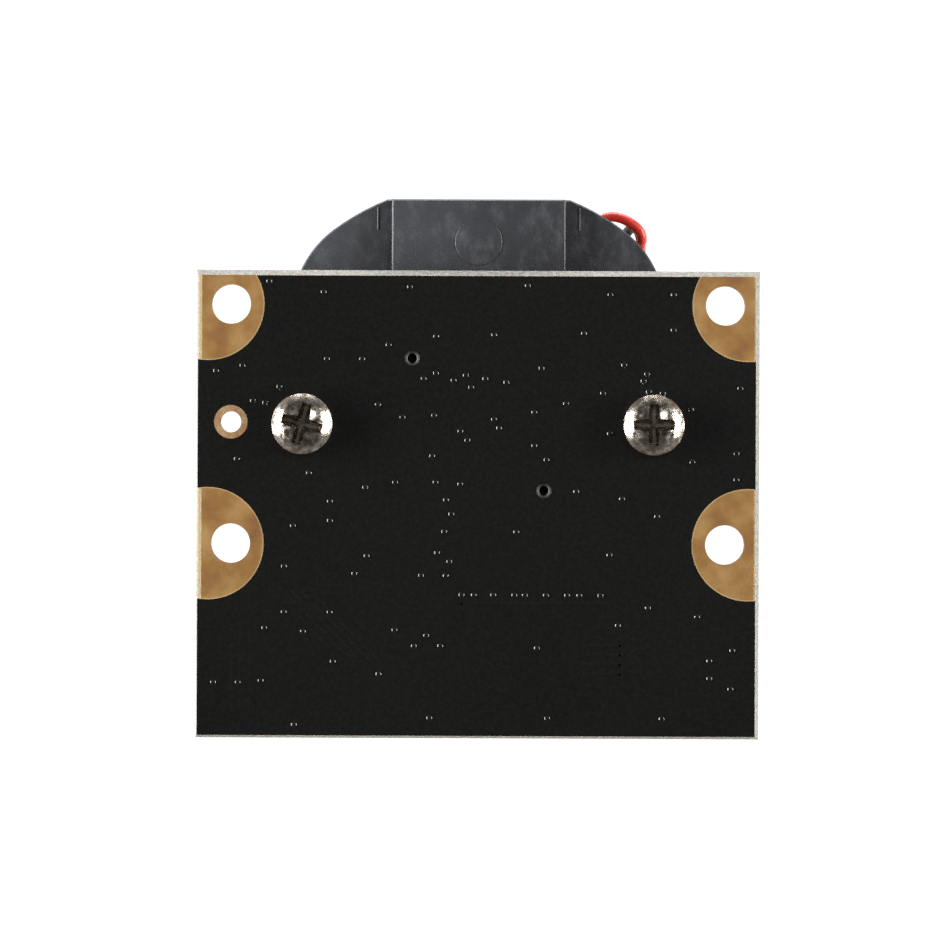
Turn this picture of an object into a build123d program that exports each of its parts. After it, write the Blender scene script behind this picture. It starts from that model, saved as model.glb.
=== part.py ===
from build123d import *
from math import asin, copysign, cos, hypot, pi, radians, sin, tan
import os

os.makedirs("parts", exist_ok=True)

# Frame: the rear face of the board lies on y = 0 and faces -Y, the lens looks along +Y, +Z is up.
# The origin is on the lens axis, which is also the middle of the four mounting holes.

# Circuit board
board_width = 32.0
board_height = 26.6
board_thickness = 1.6
board_top = 8.75  # the upper edge, above the lens axis
score_depth = 0.45  # V-score from each face
score_top, score_right, score_bottom, score_left = 0.32, 0.22, 0.16, 0.08
mask_thickness = 0.05  # solder mask, which the screw heads stand on
mount_from_side = 1.95  # hole centre to the side edge
mount_pitch_z = 13.6
mount_hole_d = 2.25
plating = 0.04
land_radius = 3.19
land_offset = 1.3  # the land's centre, outboard of its hole
land_edge_gap = 0.3  # bare laminate between the copper and the board's edge
control_hole_d = 1.2
control_ring_radius = 0.95
control_hole_z = 0.1
locating_offset = 3.75  # the two locating holes, along X and along Z
locating_hole_d = 0.85

# Holder screws
screw_pitch = 20.0
screw_d = 1.96
screw_clear_d = 2.2
screw_head_d = 3.45
screw_head_height = 1.25
screw_rim = 0.45  # the straight part of the head's side
screw_length = 5.05  # below the head
recess_span = 2.6
recess_width = 0.75
recess_depth = 0.8
recess_taper = 20
screw_turns = (-15, 0)  # recess of the left and of the right screw, in degrees

# Filter blade and its drive
glass_size = 5.6
window_rib = 0.6  # between the two panes
glass_thickness = 0.3
glass_recess = 0.2
glass_fit = 0.05
glass_ledge = 0.35
blade_thickness = 0.4
blade_end_rim = 0.6
blade_side_rim = 0.8
blade_float = 0.15  # above the floor of its bay
blade_end_clear = 0.3
half_swing = 35  # of the arm, each way from straight down, in degrees
crank_pin_d = 0.8
slot_clear = 0.17  # each side of the crank pin
slot_end_clear = 0.2
slot_rim = 0.35  # between the slot and the blade's window frame
lug_rim = 0.5
magnet_radius = 1.8
magnet_thickness = 2.0
magnet_clear = 0.3
shaft_d = 0.8
shaft_clear = 0.05
arm_thickness = 0.7
arm_width = 1.2
hub_radius = 1.3
tip_radius = 0.7
crank_pin_length = 1.15

# Housing
wall = 0.8
top_flat_half = 5.2
corner_radius = 6.0
housing_bottom = 11.3  # below the lens axis
block_half_width = 4.95
wing_recess = 0.6  # the wings' rear face, in front of the block's
edge_break = 0.08  # chamfer on the shell's rear edges
bay_floor = 1.2  # thickness over the block at the drive bay
ear_radius = 2.4
pilot_d = 2.0
pilot_depth = 3.8
blade_floor_height = 4.3  # above the board
rim_height = 6.4  # the cover's seat, above the board
sensor_cavity = 6.2
cavity_depth = 2.6
light_gate = (5.2, 4.6)
locating_pin_d = 0.58
locating_pin_length = 1.3
ejector_mark_d = 2.7
ejector_mark_drop = 2.43  # below the housing's top
mark_height = 0.03
witness_x, witness_width, witness_length, witness_height = 5.74, 0.1, 1.3, 0.03
witness_drop = 0.45
tab_width = 2.4
tab_thickness = 0.7
tab_gap = 0.03
tab_root = 2.0  # how far each tab's foot runs along the cover
tab_reach = 3.4  # below the cover's seat
tab_z = 4.35
catch_width, catch_height, catch_drop = 1.3, 0.9, 2.2
catch_proud = 0.45

# Cover and lens
cover_thickness = 1.0
collar_wall = 1.45
collar_height = 5.4
thread_d = 12.0
thread_pitch = 0.5
thread_depth = 0.27
thread_clear = 0.05
lens_back = 7.15  # the barrel's rear end, above the board's front
barrel_thread_length = 8.15
barrel_head_flange = 1.0  # wider than the thread, all round
barrel_head_length = 4.4
grip_grooves = 30
barrel_wall = 0.8  # round the front element
bore_steps = (1.0, 0.6, 0.7)  # from the front bore in to the middle one, the rear one and the rear hole
glass_clear = 0.08

# Drive coil
coil_gap = 2.6  # from the magnet to the bobbin
coil_length = 3.8
flange_radius = 1.4
flange_thickness = 0.4
winding_radius = 1.3
spool_radius = 0.75
coil_drop = 1.35  # its axis below the rotor's
coil_height = 2.75  # its axis above the board
yoke_bar = 0.8
terminal_gap = 1.0
terminal_rise = 0.8  # above the rotor's axis
terminal_end = 4.7  # above the board
terminal_side = 0.35

# Leads, plug and header
lead_d = 0.58
header_from_side = 2.0  # its middle, in from the board's edge
header_size = (2.5, 4.2, 3.6)  # along X, along Z and above the board
header_wall = 0.36
header_floor = 0.5
header_pitch = 1.25
plug_fit = 0.06
plug_height = 4.2
plug_above = 1.2  # out of the header
pin_side = 0.4

# Ribbon connector
ribbon_pins = 15
ribbon_pitch = 1.0
connector_width = 20.6
connector_depth = 4.4
connector_height = 2.8
connector_from_edge = 0.95
slot_height = 1.15
slot_depth = 3.4
slot_side = 1.2
latch_bar = 0.75
latch_tongue = 0.6
latch_fit = 0.08
latch_arm = 0.55
contact_width = 0.3

# Worked out from the sizes above
board_front = board_thickness
board_middle = board_top - board_height / 2
board_bottom = board_top - board_height
side = board_width / 2
mount_x = side - mount_from_side
mount_z = mount_pitch_z / 2
mount_points = [(x, z) for x in (-mount_x, mount_x) for z in (-mount_z, mount_z)]
locating_points = [(-locating_offset, locating_offset), (locating_offset, -locating_offset)]
screw_points = [(-screw_pitch / 2, 0), (screw_pitch / 2, 0)]

window_pitch = glass_size + window_rib  # also the blade's travel
aperture_size = glass_size - 2 * glass_ledge
blade_length = window_pitch + glass_size + 2 * blade_end_rim
blade_height = glass_size + 2 * blade_side_rim
arm_length = window_pitch / 2 / sin(radians(half_swing))
crank_pin_low = blade_height / 2 + slot_rim + slot_end_clear + crank_pin_d / 2  # its lowest centre
drive_bay_low = crank_pin_low - tip_radius - 0.1
rotor_z = crank_pin_low + arm_length
crank_pin_high = rotor_z - arm_length * cos(radians(half_swing))
housing_top = rotor_z + magnet_radius + magnet_clear + wall
housing_half_width = window_pitch / 2 + blade_length / 2 + blade_end_clear + wall
housing_radius = hypot(top_flat_half, housing_top)
wing_rear = board_front + wing_recess
bay_rear = board_front + bay_floor
blade_floor = board_front + blade_floor_height
blade_rear = blade_floor + blade_float
rim = board_front + rim_height
cover_front = rim + cover_thickness
collar_front = cover_front + collar_height
lens_rear = board_front + lens_back
collar_radius = thread_d / 2 + thread_clear + collar_wall
barrel_head_d = thread_d + 2 * barrel_head_flange
coil_start = magnet_radius + coil_gap
coil_z = rotor_z - coil_drop
terminal_z = rotor_z + terminal_rise
header_x = side - header_from_side


def level(y):
    """The plane at depth y, with its x along +X and its y along +Z; extrude(amount=-t) goes along +Y."""
    return Plane.XZ.offset(-y)


def outline(inset=0.0):
    """The housing's rear outline: a circle with a flat top, a flat bottom and straight sides."""
    half = housing_half_width - inset
    top, bottom = housing_top - inset, housing_bottom - inset
    radius = housing_radius - inset
    flat = (radius**2 - bottom**2) ** 0.5
    room = radius * (half - flat) / (radius - flat)  # the largest corner that meets the lower arc
    with BuildSketch(Plane.XY) as shape:
        Circle(radius)
        with Locations((0, (top - bottom) / 2)):
            Rectangle(2 * half, top + bottom, mode=Mode.INTERSECT)
        corners = shape.vertices().filter_by(lambda v: abs(abs(v.X) - half) < 1e-4)
        fillet(corners, min(corner_radius - inset, 0.999 * room))
    return shape.sketch


def dome(radius, y, rise):
    """The arc from the rim (radius, y) up to the Y axis at y + rise, centred on that axis."""
    sphere = copysign((radius**2 + rise**2) / (2 * rise), 1)
    half = asin(radius / sphere) / 2
    middle = y + rise - copysign(sphere * (1 - cos(half)), rise)
    return ThreePointArc((radius, y), (sphere * sin(half), middle), (0, y + rise))


def keep(piece, name):
    """Labels a finished piece and writes it to parts/."""
    piece.part.label = name
    export_step(piece.part, f"parts/{name}.step")


# The board, with its edges snapped along V-scores
with BuildPart() as circuit_board:
    across = board_width - score_left - score_right
    up = board_height - score_bottom - score_top
    inner = ((score_left - score_right) / 2, board_middle + (score_bottom - score_top) / 2)
    for face, web in ((0, score_depth), (board_front, board_front - score_depth)):
        with BuildSketch(level(face)):
            with Locations(inner):
                Rectangle(across, up)
        with BuildSketch(level(web)):
            with Locations((0, board_middle)):
                Rectangle(board_width, board_height)
        loft()
    with BuildSketch(level(score_depth)):
        with Locations((0, board_middle)):
            Rectangle(board_width, board_height)
    extrude(amount=-(board_thickness - 2 * score_depth))
    with BuildSketch(level(0)):
        with Locations(*mount_points):
            Circle(mount_hole_d / 2 + plating)
        with Locations((-mount_x, control_hole_z)):
            Circle(control_hole_d / 2 + plating)
        with Locations(*locating_points):
            Circle(locating_hole_d / 2)
        with Locations(*screw_points):
            Circle(screw_clear_d / 2)
    extrude(amount=-board_thickness, mode=Mode.SUBTRACT)
keep(circuit_board, "circuit_board")

# The gold lands at the mounting holes, on both faces, each pair joined by its plated hole
with BuildPart() as mounting_lands:
    for face in (-plating, board_front):
        with BuildSketch(level(face)):
            with Locations(*[(x + (land_offset if x > 0 else -land_offset), z) for x, z in mount_points]):
                Circle(land_radius)
            with Locations((0, board_middle)):
                Rectangle(
                    board_width - 2 * land_edge_gap,
                    board_height - 2 * land_edge_gap,
                    mode=Mode.INTERSECT,
                )
        extrude(amount=-plating)
    with BuildSketch(level(0)):
        with Locations(*mount_points):
            Circle(mount_hole_d / 2 + plating)
    extrude(amount=-board_thickness)
    with BuildSketch(level(-plating)):
        with Locations(*mount_points):
            Circle(mount_hole_d / 2)
    extrude(amount=-(board_thickness + 2 * plating), mode=Mode.SUBTRACT)
keep(mounting_lands, "mounting_lands")

with BuildPart() as control_hole_plating:
    with BuildSketch(level(0)):
        with Locations((-mount_x, control_hole_z)):
            Circle(control_hole_d / 2 + plating)
    extrude(amount=-board_thickness)
    for face in (-plating, board_front):
        with BuildSketch(level(face)):
            with Locations((-mount_x, control_hole_z)):
                Circle(control_ring_radius)
        extrude(amount=-plating)
    with BuildSketch(level(-plating)):
        with Locations((-mount_x, control_hole_z)):
            Circle(control_hole_d / 2)
    extrude(amount=-(board_thickness + 2 * plating), mode=Mode.SUBTRACT)
keep(control_hole_plating, "control_hole_plating")

# One pan head screw on the axis, then one for each ear of the housing
with BuildPart() as one_screw:
    seat, top, tip = -mask_thickness, -mask_thickness - screw_head_height, screw_length - mask_thickness
    head, shank = screw_head_d / 2, screw_d / 2
    with BuildSketch(Plane.XY):
        with BuildLine():
            Polyline(
                (0, top), (0, tip), (shank - 0.35, tip), (shank, tip - 0.5),
                (shank, seat), (head, seat), (head, seat - screw_rim),
            )
            dome(head, seat - screw_rim, screw_rim - screw_head_height)
        make_face()
    revolve(axis=Axis.Y)
    with BuildSketch(level(top)):
        Rectangle(recess_span, recess_width)
        Rectangle(recess_width, recess_span)
    extrude(amount=-recess_depth, taper=recess_taper, mode=Mode.SUBTRACT)
with BuildPart() as holder_screws:
    for (x, z), turn in zip(screw_points, screw_turns):
        with Locations(Location((x, 0, z), (0, -turn, 0))):
            add(one_screw.part)
keep(holder_screws, "holder_screws")

# The rear shell: seats on the board, carries the sensor cavity, the blade's bay and the drive bay
with BuildPart() as filter_housing:
    with BuildSketch(level(wing_rear)):
        add(outline())
    extrude(amount=-(rim - wing_rear))
    chamfer(filter_housing.faces().sort_by(Axis.Y)[0].edges(), edge_break)
    with BuildSketch(level(board_front)):
        with Locations((0, (housing_top - housing_bottom) / 2)):
            Rectangle(2 * block_half_width, housing_top + housing_bottom)
    extrude(amount=-(wing_recess + edge_break))
    chamfer(filter_housing.faces().sort_by(Axis.Y)[0].edges(), edge_break)
    with BuildSketch(level(board_front)):
        with Locations(*screw_points):
            Circle(ear_radius)
    extrude(amount=-blade_floor_height)
    # the drive bay above the optics and the hollow below them
    with BuildSketch(level(bay_rear)):
        add(outline(wall))
        with Locations((0, drive_bay_low + housing_top / 2)):
            Rectangle(2 * housing_half_width, housing_top, mode=Mode.INTERSECT)
    extrude(amount=-(rim - bay_rear), mode=Mode.SUBTRACT)
    with BuildSketch(level(bay_rear)):
        add(outline(wall))
        with Locations((0, -blade_height / 2 - blade_end_clear - wall - housing_bottom / 2)):
            Rectangle(2 * housing_half_width, housing_bottom, mode=Mode.INTERSECT)
    extrude(amount=-(rim - bay_rear), mode=Mode.SUBTRACT)
    # the bay that the blade slides across
    with BuildSketch(level(blade_floor)):
        Rectangle(2 * (housing_half_width - wall), blade_height + 2 * blade_end_clear)
    extrude(amount=-(rim - blade_floor), mode=Mode.SUBTRACT)
    with BuildSketch(level(board_front)):
        Rectangle(sensor_cavity, sensor_cavity)
    extrude(amount=-cavity_depth, mode=Mode.SUBTRACT)
    with BuildSketch(level(board_front)):
        Rectangle(*light_gate)
    extrude(amount=-(blade_floor_height + 0.1), mode=Mode.SUBTRACT)
    with BuildSketch(level(board_front)):
        with Locations(*screw_points):
            Circle(pilot_d / 2)
    extrude(amount=-pilot_depth, mode=Mode.SUBTRACT)
    # the rotor's foot, and pads under the yoke
    yoke_rear = board_front + coil_height - yoke_bar / 2
    with BuildSketch(level(bay_rear)):
        with Locations((0, rotor_z)):
            Circle(shaft_d / 2 + 0.45)
    extrude(amount=-0.15)
    with BuildSketch(level(board_front + bay_floor / 2)):
        with Locations((0, rotor_z)):
            Circle(shaft_d / 2)
    extrude(amount=-(bay_floor / 2 + 0.15), mode=Mode.SUBTRACT)
    yoke_low = coil_z - flange_radius - 0.5 - yoke_bar / 2  # the middle of the yoke's return leg
    with BuildSketch(level(bay_rear)):
        with Locations((-1.4, yoke_low), (6.2, yoke_low)):
            Rectangle(1.6, yoke_bar)
    extrude(amount=-(yoke_rear - bay_rear))
    # locating pins, the ejector mark and the two witness lines, which stand proud with sloping sides
    with BuildSketch(level(board_front - locating_pin_length)):
        with Locations(*locating_points):
            Circle(locating_pin_d / 2)
    extrude(amount=-locating_pin_length)
    with BuildSketch(level(board_front)):
        with Locations((0, housing_top - ejector_mark_drop)):
            Circle(ejector_mark_d / 2)
    extrude(amount=mark_height, taper=45)
    with BuildSketch(level(wing_rear)):
        witness_z = housing_top - witness_drop - witness_length / 2
        with Locations((-witness_x, witness_z), (witness_x, witness_z)):
            Rectangle(witness_width, witness_length)
    extrude(amount=witness_height, taper=45)
    # catches that the cover's tabs snap over
    for x in (-1, 1):
        with BuildSketch(level(rim - catch_drop - catch_height)):
            with Locations(*[(x * (housing_half_width + catch_proud / 2), z) for z in (-tab_z, tab_z)]):
                Rectangle(catch_proud, catch_width)
        extrude(amount=-catch_height)
keep(filter_housing, "filter_housing")

# The front cover with the threaded collar, the wire hole and four snap tabs
with BuildPart() as housing_cover:
    with BuildSketch(level(rim)):
        add(outline())
    extrude(amount=-cover_thickness)
    chamfer(housing_cover.faces().sort_by(Axis.Y)[-1].edges(), 0.3)
    with BuildSketch(level(cover_front - 0.2)):
        Circle(collar_radius)
    extrude(amount=-(collar_height + 0.2))
    chamfer(housing_cover.faces().sort_by(Axis.Y)[-1].edges(), 0.35)
    with BuildSketch(level(rim)):
        with Locations((0, rotor_z)):
            Circle(shaft_d / 2 + 0.6)
    boss_reach = rim - blade_floor - 0.1
    extrude(amount=boss_reach)
    with BuildSketch(level(rim - boss_reach)):
        with Locations((0, rotor_z)):
            Circle(shaft_d / 2)
    extrude(amount=-(boss_reach - 0.3), mode=Mode.SUBTRACT)
    for x in (-1, 1):
        with BuildSketch(level(rim - tab_reach)):
            tab_x = x * (housing_half_width + tab_thickness / 2 + tab_gap)
            with Locations((tab_x, -tab_z), (tab_x, tab_z)):
                Rectangle(tab_thickness, tab_width)
        extrude(amount=-tab_reach)
        with BuildSketch(level(rim)):
            root_x = x * (housing_half_width + tab_gap + tab_thickness - tab_root / 2)
            with Locations((root_x, -tab_z), (root_x, tab_z)):
                Rectangle(tab_root, tab_width)
        extrude(amount=-(cover_thickness - 0.3))
        with BuildSketch(level(rim - catch_drop - catch_height - 0.1)):
            window_x = x * (housing_half_width + 1)
            with Locations((window_x, -tab_z), (window_x, tab_z)):
                Rectangle(2, catch_width + 0.2)
        extrude(amount=-(catch_height + 0.2), mode=Mode.SUBTRACT)
    with BuildSketch(level(rim)):
        Circle(thread_d / 2 + thread_clear)
    extrude(amount=-(collar_front - rim), mode=Mode.SUBTRACT)
    with BuildSketch(level(rim)):
        with Locations((coil_start + 0.1, terminal_z)):
            SlotCenterToCenter(terminal_gap, lead_d + 0.4)
    extrude(amount=-cover_thickness, mode=Mode.SUBTRACT)
keep(housing_cover, "housing_cover")

# The blade, drawn with its infrared window on the lens axis
blade_x = -window_pitch / 2
window_xs = (blade_x + window_pitch / 2, blade_x - window_pitch / 2)
slot_low = crank_pin_low - crank_pin_d / 2 - slot_end_clear
slot_high = crank_pin_high + crank_pin_d / 2 + slot_end_clear
slot_width = crank_pin_d + 2 * slot_clear
with BuildPart() as filter_blade:
    with BuildSketch(level(blade_rear)):
        with Locations((blade_x, 0)):
            RectangleRounded(blade_length, blade_height, 0.5)
        with Locations((blade_x, (slot_high + lug_rim) / 2)):
            Rectangle(slot_width + 2 * lug_rim + 0.5, slot_high + lug_rim)
        with Locations((blade_x, (slot_low + slot_high) / 2)):
            Rectangle(slot_width, slot_high - slot_low, mode=Mode.SUBTRACT)
        with Locations(*[(x, 0) for x in window_xs]):
            Rectangle(aperture_size, aperture_size, mode=Mode.SUBTRACT)
    extrude(amount=-blade_thickness)
    with BuildSketch(level(blade_rear + blade_thickness - glass_recess)):
        with Locations(*[(x, 0) for x in window_xs]):
            Rectangle(glass_size, glass_size)
    extrude(amount=-glass_recess, mode=Mode.SUBTRACT)
keep(filter_blade, "filter_blade")

glass_rear = blade_rear + blade_thickness - glass_recess
with BuildPart() as infrared_filter:
    with BuildSketch(level(glass_rear)):
        with Locations((window_xs[0], 0)):
            Rectangle(glass_size - 2 * glass_fit, glass_size - 2 * glass_fit)
    extrude(amount=-glass_thickness)
keep(infrared_filter, "infrared_filter")

with BuildPart() as clear_window:
    with BuildSketch(level(glass_rear)):
        with Locations((window_xs[1], 0)):
            Rectangle(glass_size - 2 * glass_fit, glass_size - 2 * glass_fit)
    extrude(amount=-glass_thickness)
keep(clear_window, "clear_window")

# The rotor: a magnet and a crank arm on a fixed steel shaft
arm_rear = blade_floor - 0.1 - arm_thickness
magnet_rear = arm_rear - magnet_thickness
crank_x, crank_z = blade_x, crank_pin_high
with BuildPart() as rotor_shaft:
    with BuildSketch(level(board_front + bay_floor / 2)):
        with Locations((0, rotor_z)):
            Circle(shaft_d / 2)
    extrude(amount=-(rim - 0.35 - board_front - bay_floor / 2))
keep(rotor_shaft, "rotor_shaft")

with BuildPart() as rotor_magnet:
    with BuildSketch(level(magnet_rear)):
        with Locations((0, rotor_z)):
            Circle(magnet_radius)
            Circle(shaft_d / 2 + shaft_clear, mode=Mode.SUBTRACT)
    extrude(amount=-magnet_thickness)
keep(rotor_magnet, "rotor_magnet")

with BuildPart() as drive_arm:
    with BuildSketch(level(arm_rear)):
        with Locations((0, rotor_z)):
            Circle(hub_radius)
        with Locations((crank_x, crank_z)):
            Circle(tip_radius)
        with Locations(Location((crank_x / 2, (rotor_z + crank_z) / 2), 90 - half_swing)):
            Rectangle(arm_length, arm_width)
        with Locations((0, rotor_z)):
            Circle(shaft_d / 2 + shaft_clear, mode=Mode.SUBTRACT)
    extrude(amount=-arm_thickness)
    with BuildSketch(level(arm_rear + arm_thickness)):
        with Locations((crank_x, crank_z)):
            Circle(crank_pin_d / 2)
    extrude(amount=-crank_pin_length)
keep(drive_arm, "drive_arm")

# The electromagnet: a C-shaped yoke, a bobbin on its upper bar and the winding
coil_y = board_front + coil_height
coil_end = coil_start + coil_length
pole_gap = magnet_radius + magnet_clear + 0.05
with BuildPart() as stator_yoke:
    far, near = coil_end + 0.8, -pole_gap - 0.95
    with BuildSketch(level(yoke_rear)):
        with Locations(((far + 1.2) / 2, coil_z)):
            Rectangle(far - 1.2, yoke_bar)
        with Locations((far - yoke_bar / 2, (coil_z + yoke_low) / 2)):
            Rectangle(yoke_bar, coil_z - yoke_low + yoke_bar)
        with Locations(((far + near) / 2, yoke_low)):
            Rectangle(far - near, yoke_bar)
        with Locations((near + yoke_bar / 2, (yoke_low + rotor_z) / 2)):
            Rectangle(yoke_bar, rotor_z - yoke_low + yoke_bar)
        with Locations((0, rotor_z)):
            Circle(pole_gap, mode=Mode.SUBTRACT)
    extrude(amount=-yoke_bar)
keep(stator_yoke, "stator_yoke")

coil_plane = Plane(origin=(coil_start, coil_y, coil_z), x_dir=(0, 1, 0), z_dir=(1, 0, 0))
block_top = terminal_z + 0.45
block_low = coil_z + flange_radius - 0.5
with BuildPart() as coil_bobbin:
    with BuildSketch(coil_plane):
        Circle(flange_radius)
    extrude(amount=flange_thickness)
    with BuildSketch(coil_plane):
        Circle(spool_radius)
    extrude(amount=coil_length)
    with BuildSketch(coil_plane.offset(coil_length - flange_thickness)):
        Circle(flange_radius)
    extrude(amount=flange_thickness)
    with BuildSketch(level(coil_y - 0.4)):
        with Locations((coil_start + 0.1, (block_low + block_top) / 2)):
            Rectangle(terminal_gap + 0.8, block_top - block_low)
        with Locations((coil_start + 0.1 + terminal_gap, (block_low + coil_z + winding_radius) / 2)):
            Rectangle(2.4, coil_z + winding_radius + 0.06 - block_low, mode=Mode.SUBTRACT)
    extrude(amount=-0.8)
    with BuildSketch(coil_plane):
        Rectangle(yoke_bar, yoke_bar)
    extrude(amount=coil_length, mode=Mode.SUBTRACT)
keep(coil_bobbin, "coil_bobbin")

with BuildPart() as coil_winding:
    with BuildSketch(coil_plane.offset(flange_thickness)):
        Circle(winding_radius)
        Circle(spool_radius, mode=Mode.SUBTRACT)
    extrude(amount=coil_length - 2 * flange_thickness)
keep(coil_winding, "coil_winding")

terminal_xs = (coil_start + 0.1 + terminal_gap / 2, coil_start + 0.1 - terminal_gap / 2)
with BuildPart() as coil_terminals:
    with BuildSketch(level(coil_y + 0.4)):
        with Locations(*[(x, terminal_z) for x in terminal_xs]):
            Rectangle(terminal_side, terminal_side)
    extrude(amount=-(board_front + terminal_end - coil_y - 0.4))
keep(coil_terminals, "coil_terminals")

# The lens: a threaded barrel round three elements, a stop and a retaining ring
bore_front = thread_d / 2 - barrel_wall
bore_middle = bore_front - bore_steps[0]
bore_rear = bore_middle - bore_steps[1]
rear_hole = bore_rear - bore_steps[2]
head_rear = lens_rear + barrel_thread_length
barrel_front = head_rear + barrel_head_length
shelf_front = barrel_front - 3.7
shelf_middle = lens_rear + 3.8
shelf_rear = lens_rear + 1.0
with BuildPart() as lens_barrel:
    crest, root = thread_d / 2, thread_d / 2 - thread_depth
    turns = int(barrel_thread_length / thread_pitch)
    teeth = []
    for i in range(turns):
        start = lens_rear + i * thread_pitch
        teeth += [(root, start + 0.02), (crest, start + 0.22), (crest, start + 0.28), (root, start + 0.48)]
    with BuildSketch(Plane.XY):
        with BuildLine():
            Polyline(
                (rear_hole, lens_rear), *teeth, (root, head_rear), (barrel_head_d / 2 - 0.3, head_rear),
                (barrel_head_d / 2, head_rear + 0.3), (barrel_head_d / 2, barrel_front - 0.3),
                (barrel_head_d / 2 - 0.3, barrel_front), (thread_d / 2, barrel_front),
                (bore_front, barrel_front - 1.5), (bore_front, shelf_front),
                (bore_middle, shelf_front), (bore_middle, shelf_middle),
                (bore_rear, shelf_middle), (bore_rear, shelf_rear), (rear_hole, shelf_rear), close=True,
            )
        make_face()
    revolve(axis=Axis.Y)
    with BuildSketch(level(head_rear + 0.9)):
        with PolarLocations(barrel_head_d / 2 + 0.12, grip_grooves):
            Circle(0.3)
    extrude(amount=-(barrel_head_length - 1.8), mode=Mode.SUBTRACT)
keep(lens_barrel, "lens_barrel")

# Front meniscus, from its edge flat to its domed face
front_edge = bore_front - glass_clear
front_seat = shelf_front + glass_clear
with BuildPart() as front_element:
    with BuildSketch(Plane.XY):
        with BuildLine():
            front_dome, front_hollow = bore_front - 0.8, bore_front - 1.7
            Line((0, front_seat + 1.0), (0, front_seat + 2.45))
            dome(front_dome, front_seat + 1.1, 1.35)
            Polyline(
                (front_dome, front_seat + 1.1), (front_edge, front_seat + 1.1),
                (front_edge, front_seat), (front_hollow, front_seat),
            )
            dome(front_hollow, front_seat, 1.0)
        make_face()
    revolve(axis=Axis.Y)
keep(front_element, "front_element")

ring_rear = front_seat + 1.1 + glass_clear
with BuildPart() as retaining_ring:
    with BuildSketch(level(ring_rear)):
        Circle(bore_front)
        Circle(bore_front - 0.75, mode=Mode.SUBTRACT)
    extrude(amount=-0.7)
    with BuildSketch(level(ring_rear + 0.35)):
        Rectangle(2 * bore_front + 1, 0.7)
    extrude(amount=-0.35, mode=Mode.SUBTRACT)
keep(retaining_ring, "retaining_ring")

middle_edge = bore_middle - glass_clear
with BuildPart() as middle_element:
    seat_y = shelf_front - 1.9
    with BuildSketch(Plane.XY):
        with BuildLine():
            middle_dome = bore_middle - 0.8
            Polyline(
                (0, seat_y + 1.6), (0, seat_y), (middle_edge, seat_y),
                (middle_edge, seat_y + 0.7), (middle_dome, seat_y + 0.7),
            )
            dome(middle_dome, seat_y + 0.7, 0.9)
        make_face()
    revolve(axis=Axis.Y)
keep(middle_element, "middle_element")

with BuildPart() as lens_stop:
    with BuildSketch(Plane.XY):
        with BuildLine():
            stop_inner, stop_rear = bore_middle - 1.1, shelf_middle + glass_clear
            Polyline(
                (1.5, seat_y - 1.0), (stop_inner, seat_y), (middle_edge, seat_y), (middle_edge, stop_rear),
                (stop_inner, stop_rear), (1.5, seat_y - 1.15), close=True,
            )
        make_face()
    revolve(axis=Axis.Y)
keep(lens_stop, "lens_stop")

rear_edge = bore_rear - glass_clear
with BuildPart() as rear_element:
    seat_y = shelf_rear + glass_clear
    with BuildSketch(Plane.XY):
        with BuildLine():
            Line((0, seat_y + 2.4), (0, seat_y - 0.55))
            rear_dome = rear_hole - 0.2
            dome(rear_dome, seat_y, -0.55)
            Polyline(
                (rear_dome, seat_y), (rear_edge, seat_y),
                (rear_edge, seat_y + 1.9), (rear_dome, seat_y + 1.9),
            )
            dome(rear_dome, seat_y + 1.9, 0.5)
        make_face()
    revolve(axis=Axis.Y)
keep(rear_element, "rear_element")

# The image sensor on the board, under the housing
with BuildPart() as image_sensor:
    with BuildSketch(level(board_front)):
        Rectangle(5.5, 4.7)
    extrude(amount=-0.45)
keep(image_sensor, "image_sensor")

with BuildPart() as sensor_die:
    with BuildSketch(level(board_front + 0.45)):
        Rectangle(4.3, 3.4)
    extrude(amount=-0.06)
keep(sensor_die, "sensor_die")

with BuildPart() as sensor_glass:
    with BuildSketch(level(board_front + 0.51)):
        Rectangle(5.3, 4.5)
    extrude(amount=-0.4)
keep(sensor_glass, "sensor_glass")

# The two-way header at the right edge, with its pins, its plug and the plug's contacts
header_deep, header_long, header_high = header_size
pin_zs = (header_pitch / 2, -header_pitch / 2)
cavity_deep, cavity_long = header_deep - 2 * header_wall, header_long - 2 * header_wall
with BuildPart() as lead_header:
    with BuildSketch(level(board_front)):
        with Locations((header_x, 0)):
            Rectangle(header_deep, header_long)
    extrude(amount=-header_high)
    with BuildSketch(level(board_front + header_floor)):
        with Locations((header_x, 0)):
            Rectangle(cavity_deep, cavity_long)
    extrude(amount=-(header_high - header_floor), mode=Mode.SUBTRACT)
    with BuildSketch(level(board_front + 1.4)):
        with Locations((header_x + header_deep / 2, 0)):
            Rectangle(2 * header_wall, 1.6)
    extrude(amount=-(header_high - 1.4), mode=Mode.SUBTRACT)
    with BuildSketch(level(board_front + header_floor - 0.5)):
        with Locations(*[(header_x, z) for z in pin_zs]):
            Rectangle(pin_side, pin_side)
    extrude(amount=-header_floor, mode=Mode.SUBTRACT)
keep(lead_header, "lead_header")

pin_top = board_front + header_high - 0.7
plug_rear = board_front + header_floor + 0.1
plug_front = board_front + header_high + plug_above
with BuildPart() as header_pins:
    with BuildSketch(level(board_front + 0.02)):
        with Locations(*[(header_x, z) for z in pin_zs]):
            Rectangle(pin_side, pin_side)
    extrude(amount=-(pin_top - board_front - 0.02))
    with BuildSketch(level(board_front)):
        with Locations(*[(header_x + header_deep / 2 + 0.2, z) for z in pin_zs]):
            Rectangle(0.4, pin_side)
    extrude(amount=-0.25)
    with BuildSketch(level(board_front)):
        with Locations(*[(header_x, z) for z in (-header_long / 2 - 0.25, header_long / 2 + 0.25)]):
            Rectangle(1.4, 0.5)
    extrude(amount=-0.25)
keep(header_pins, "header_pins")

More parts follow.
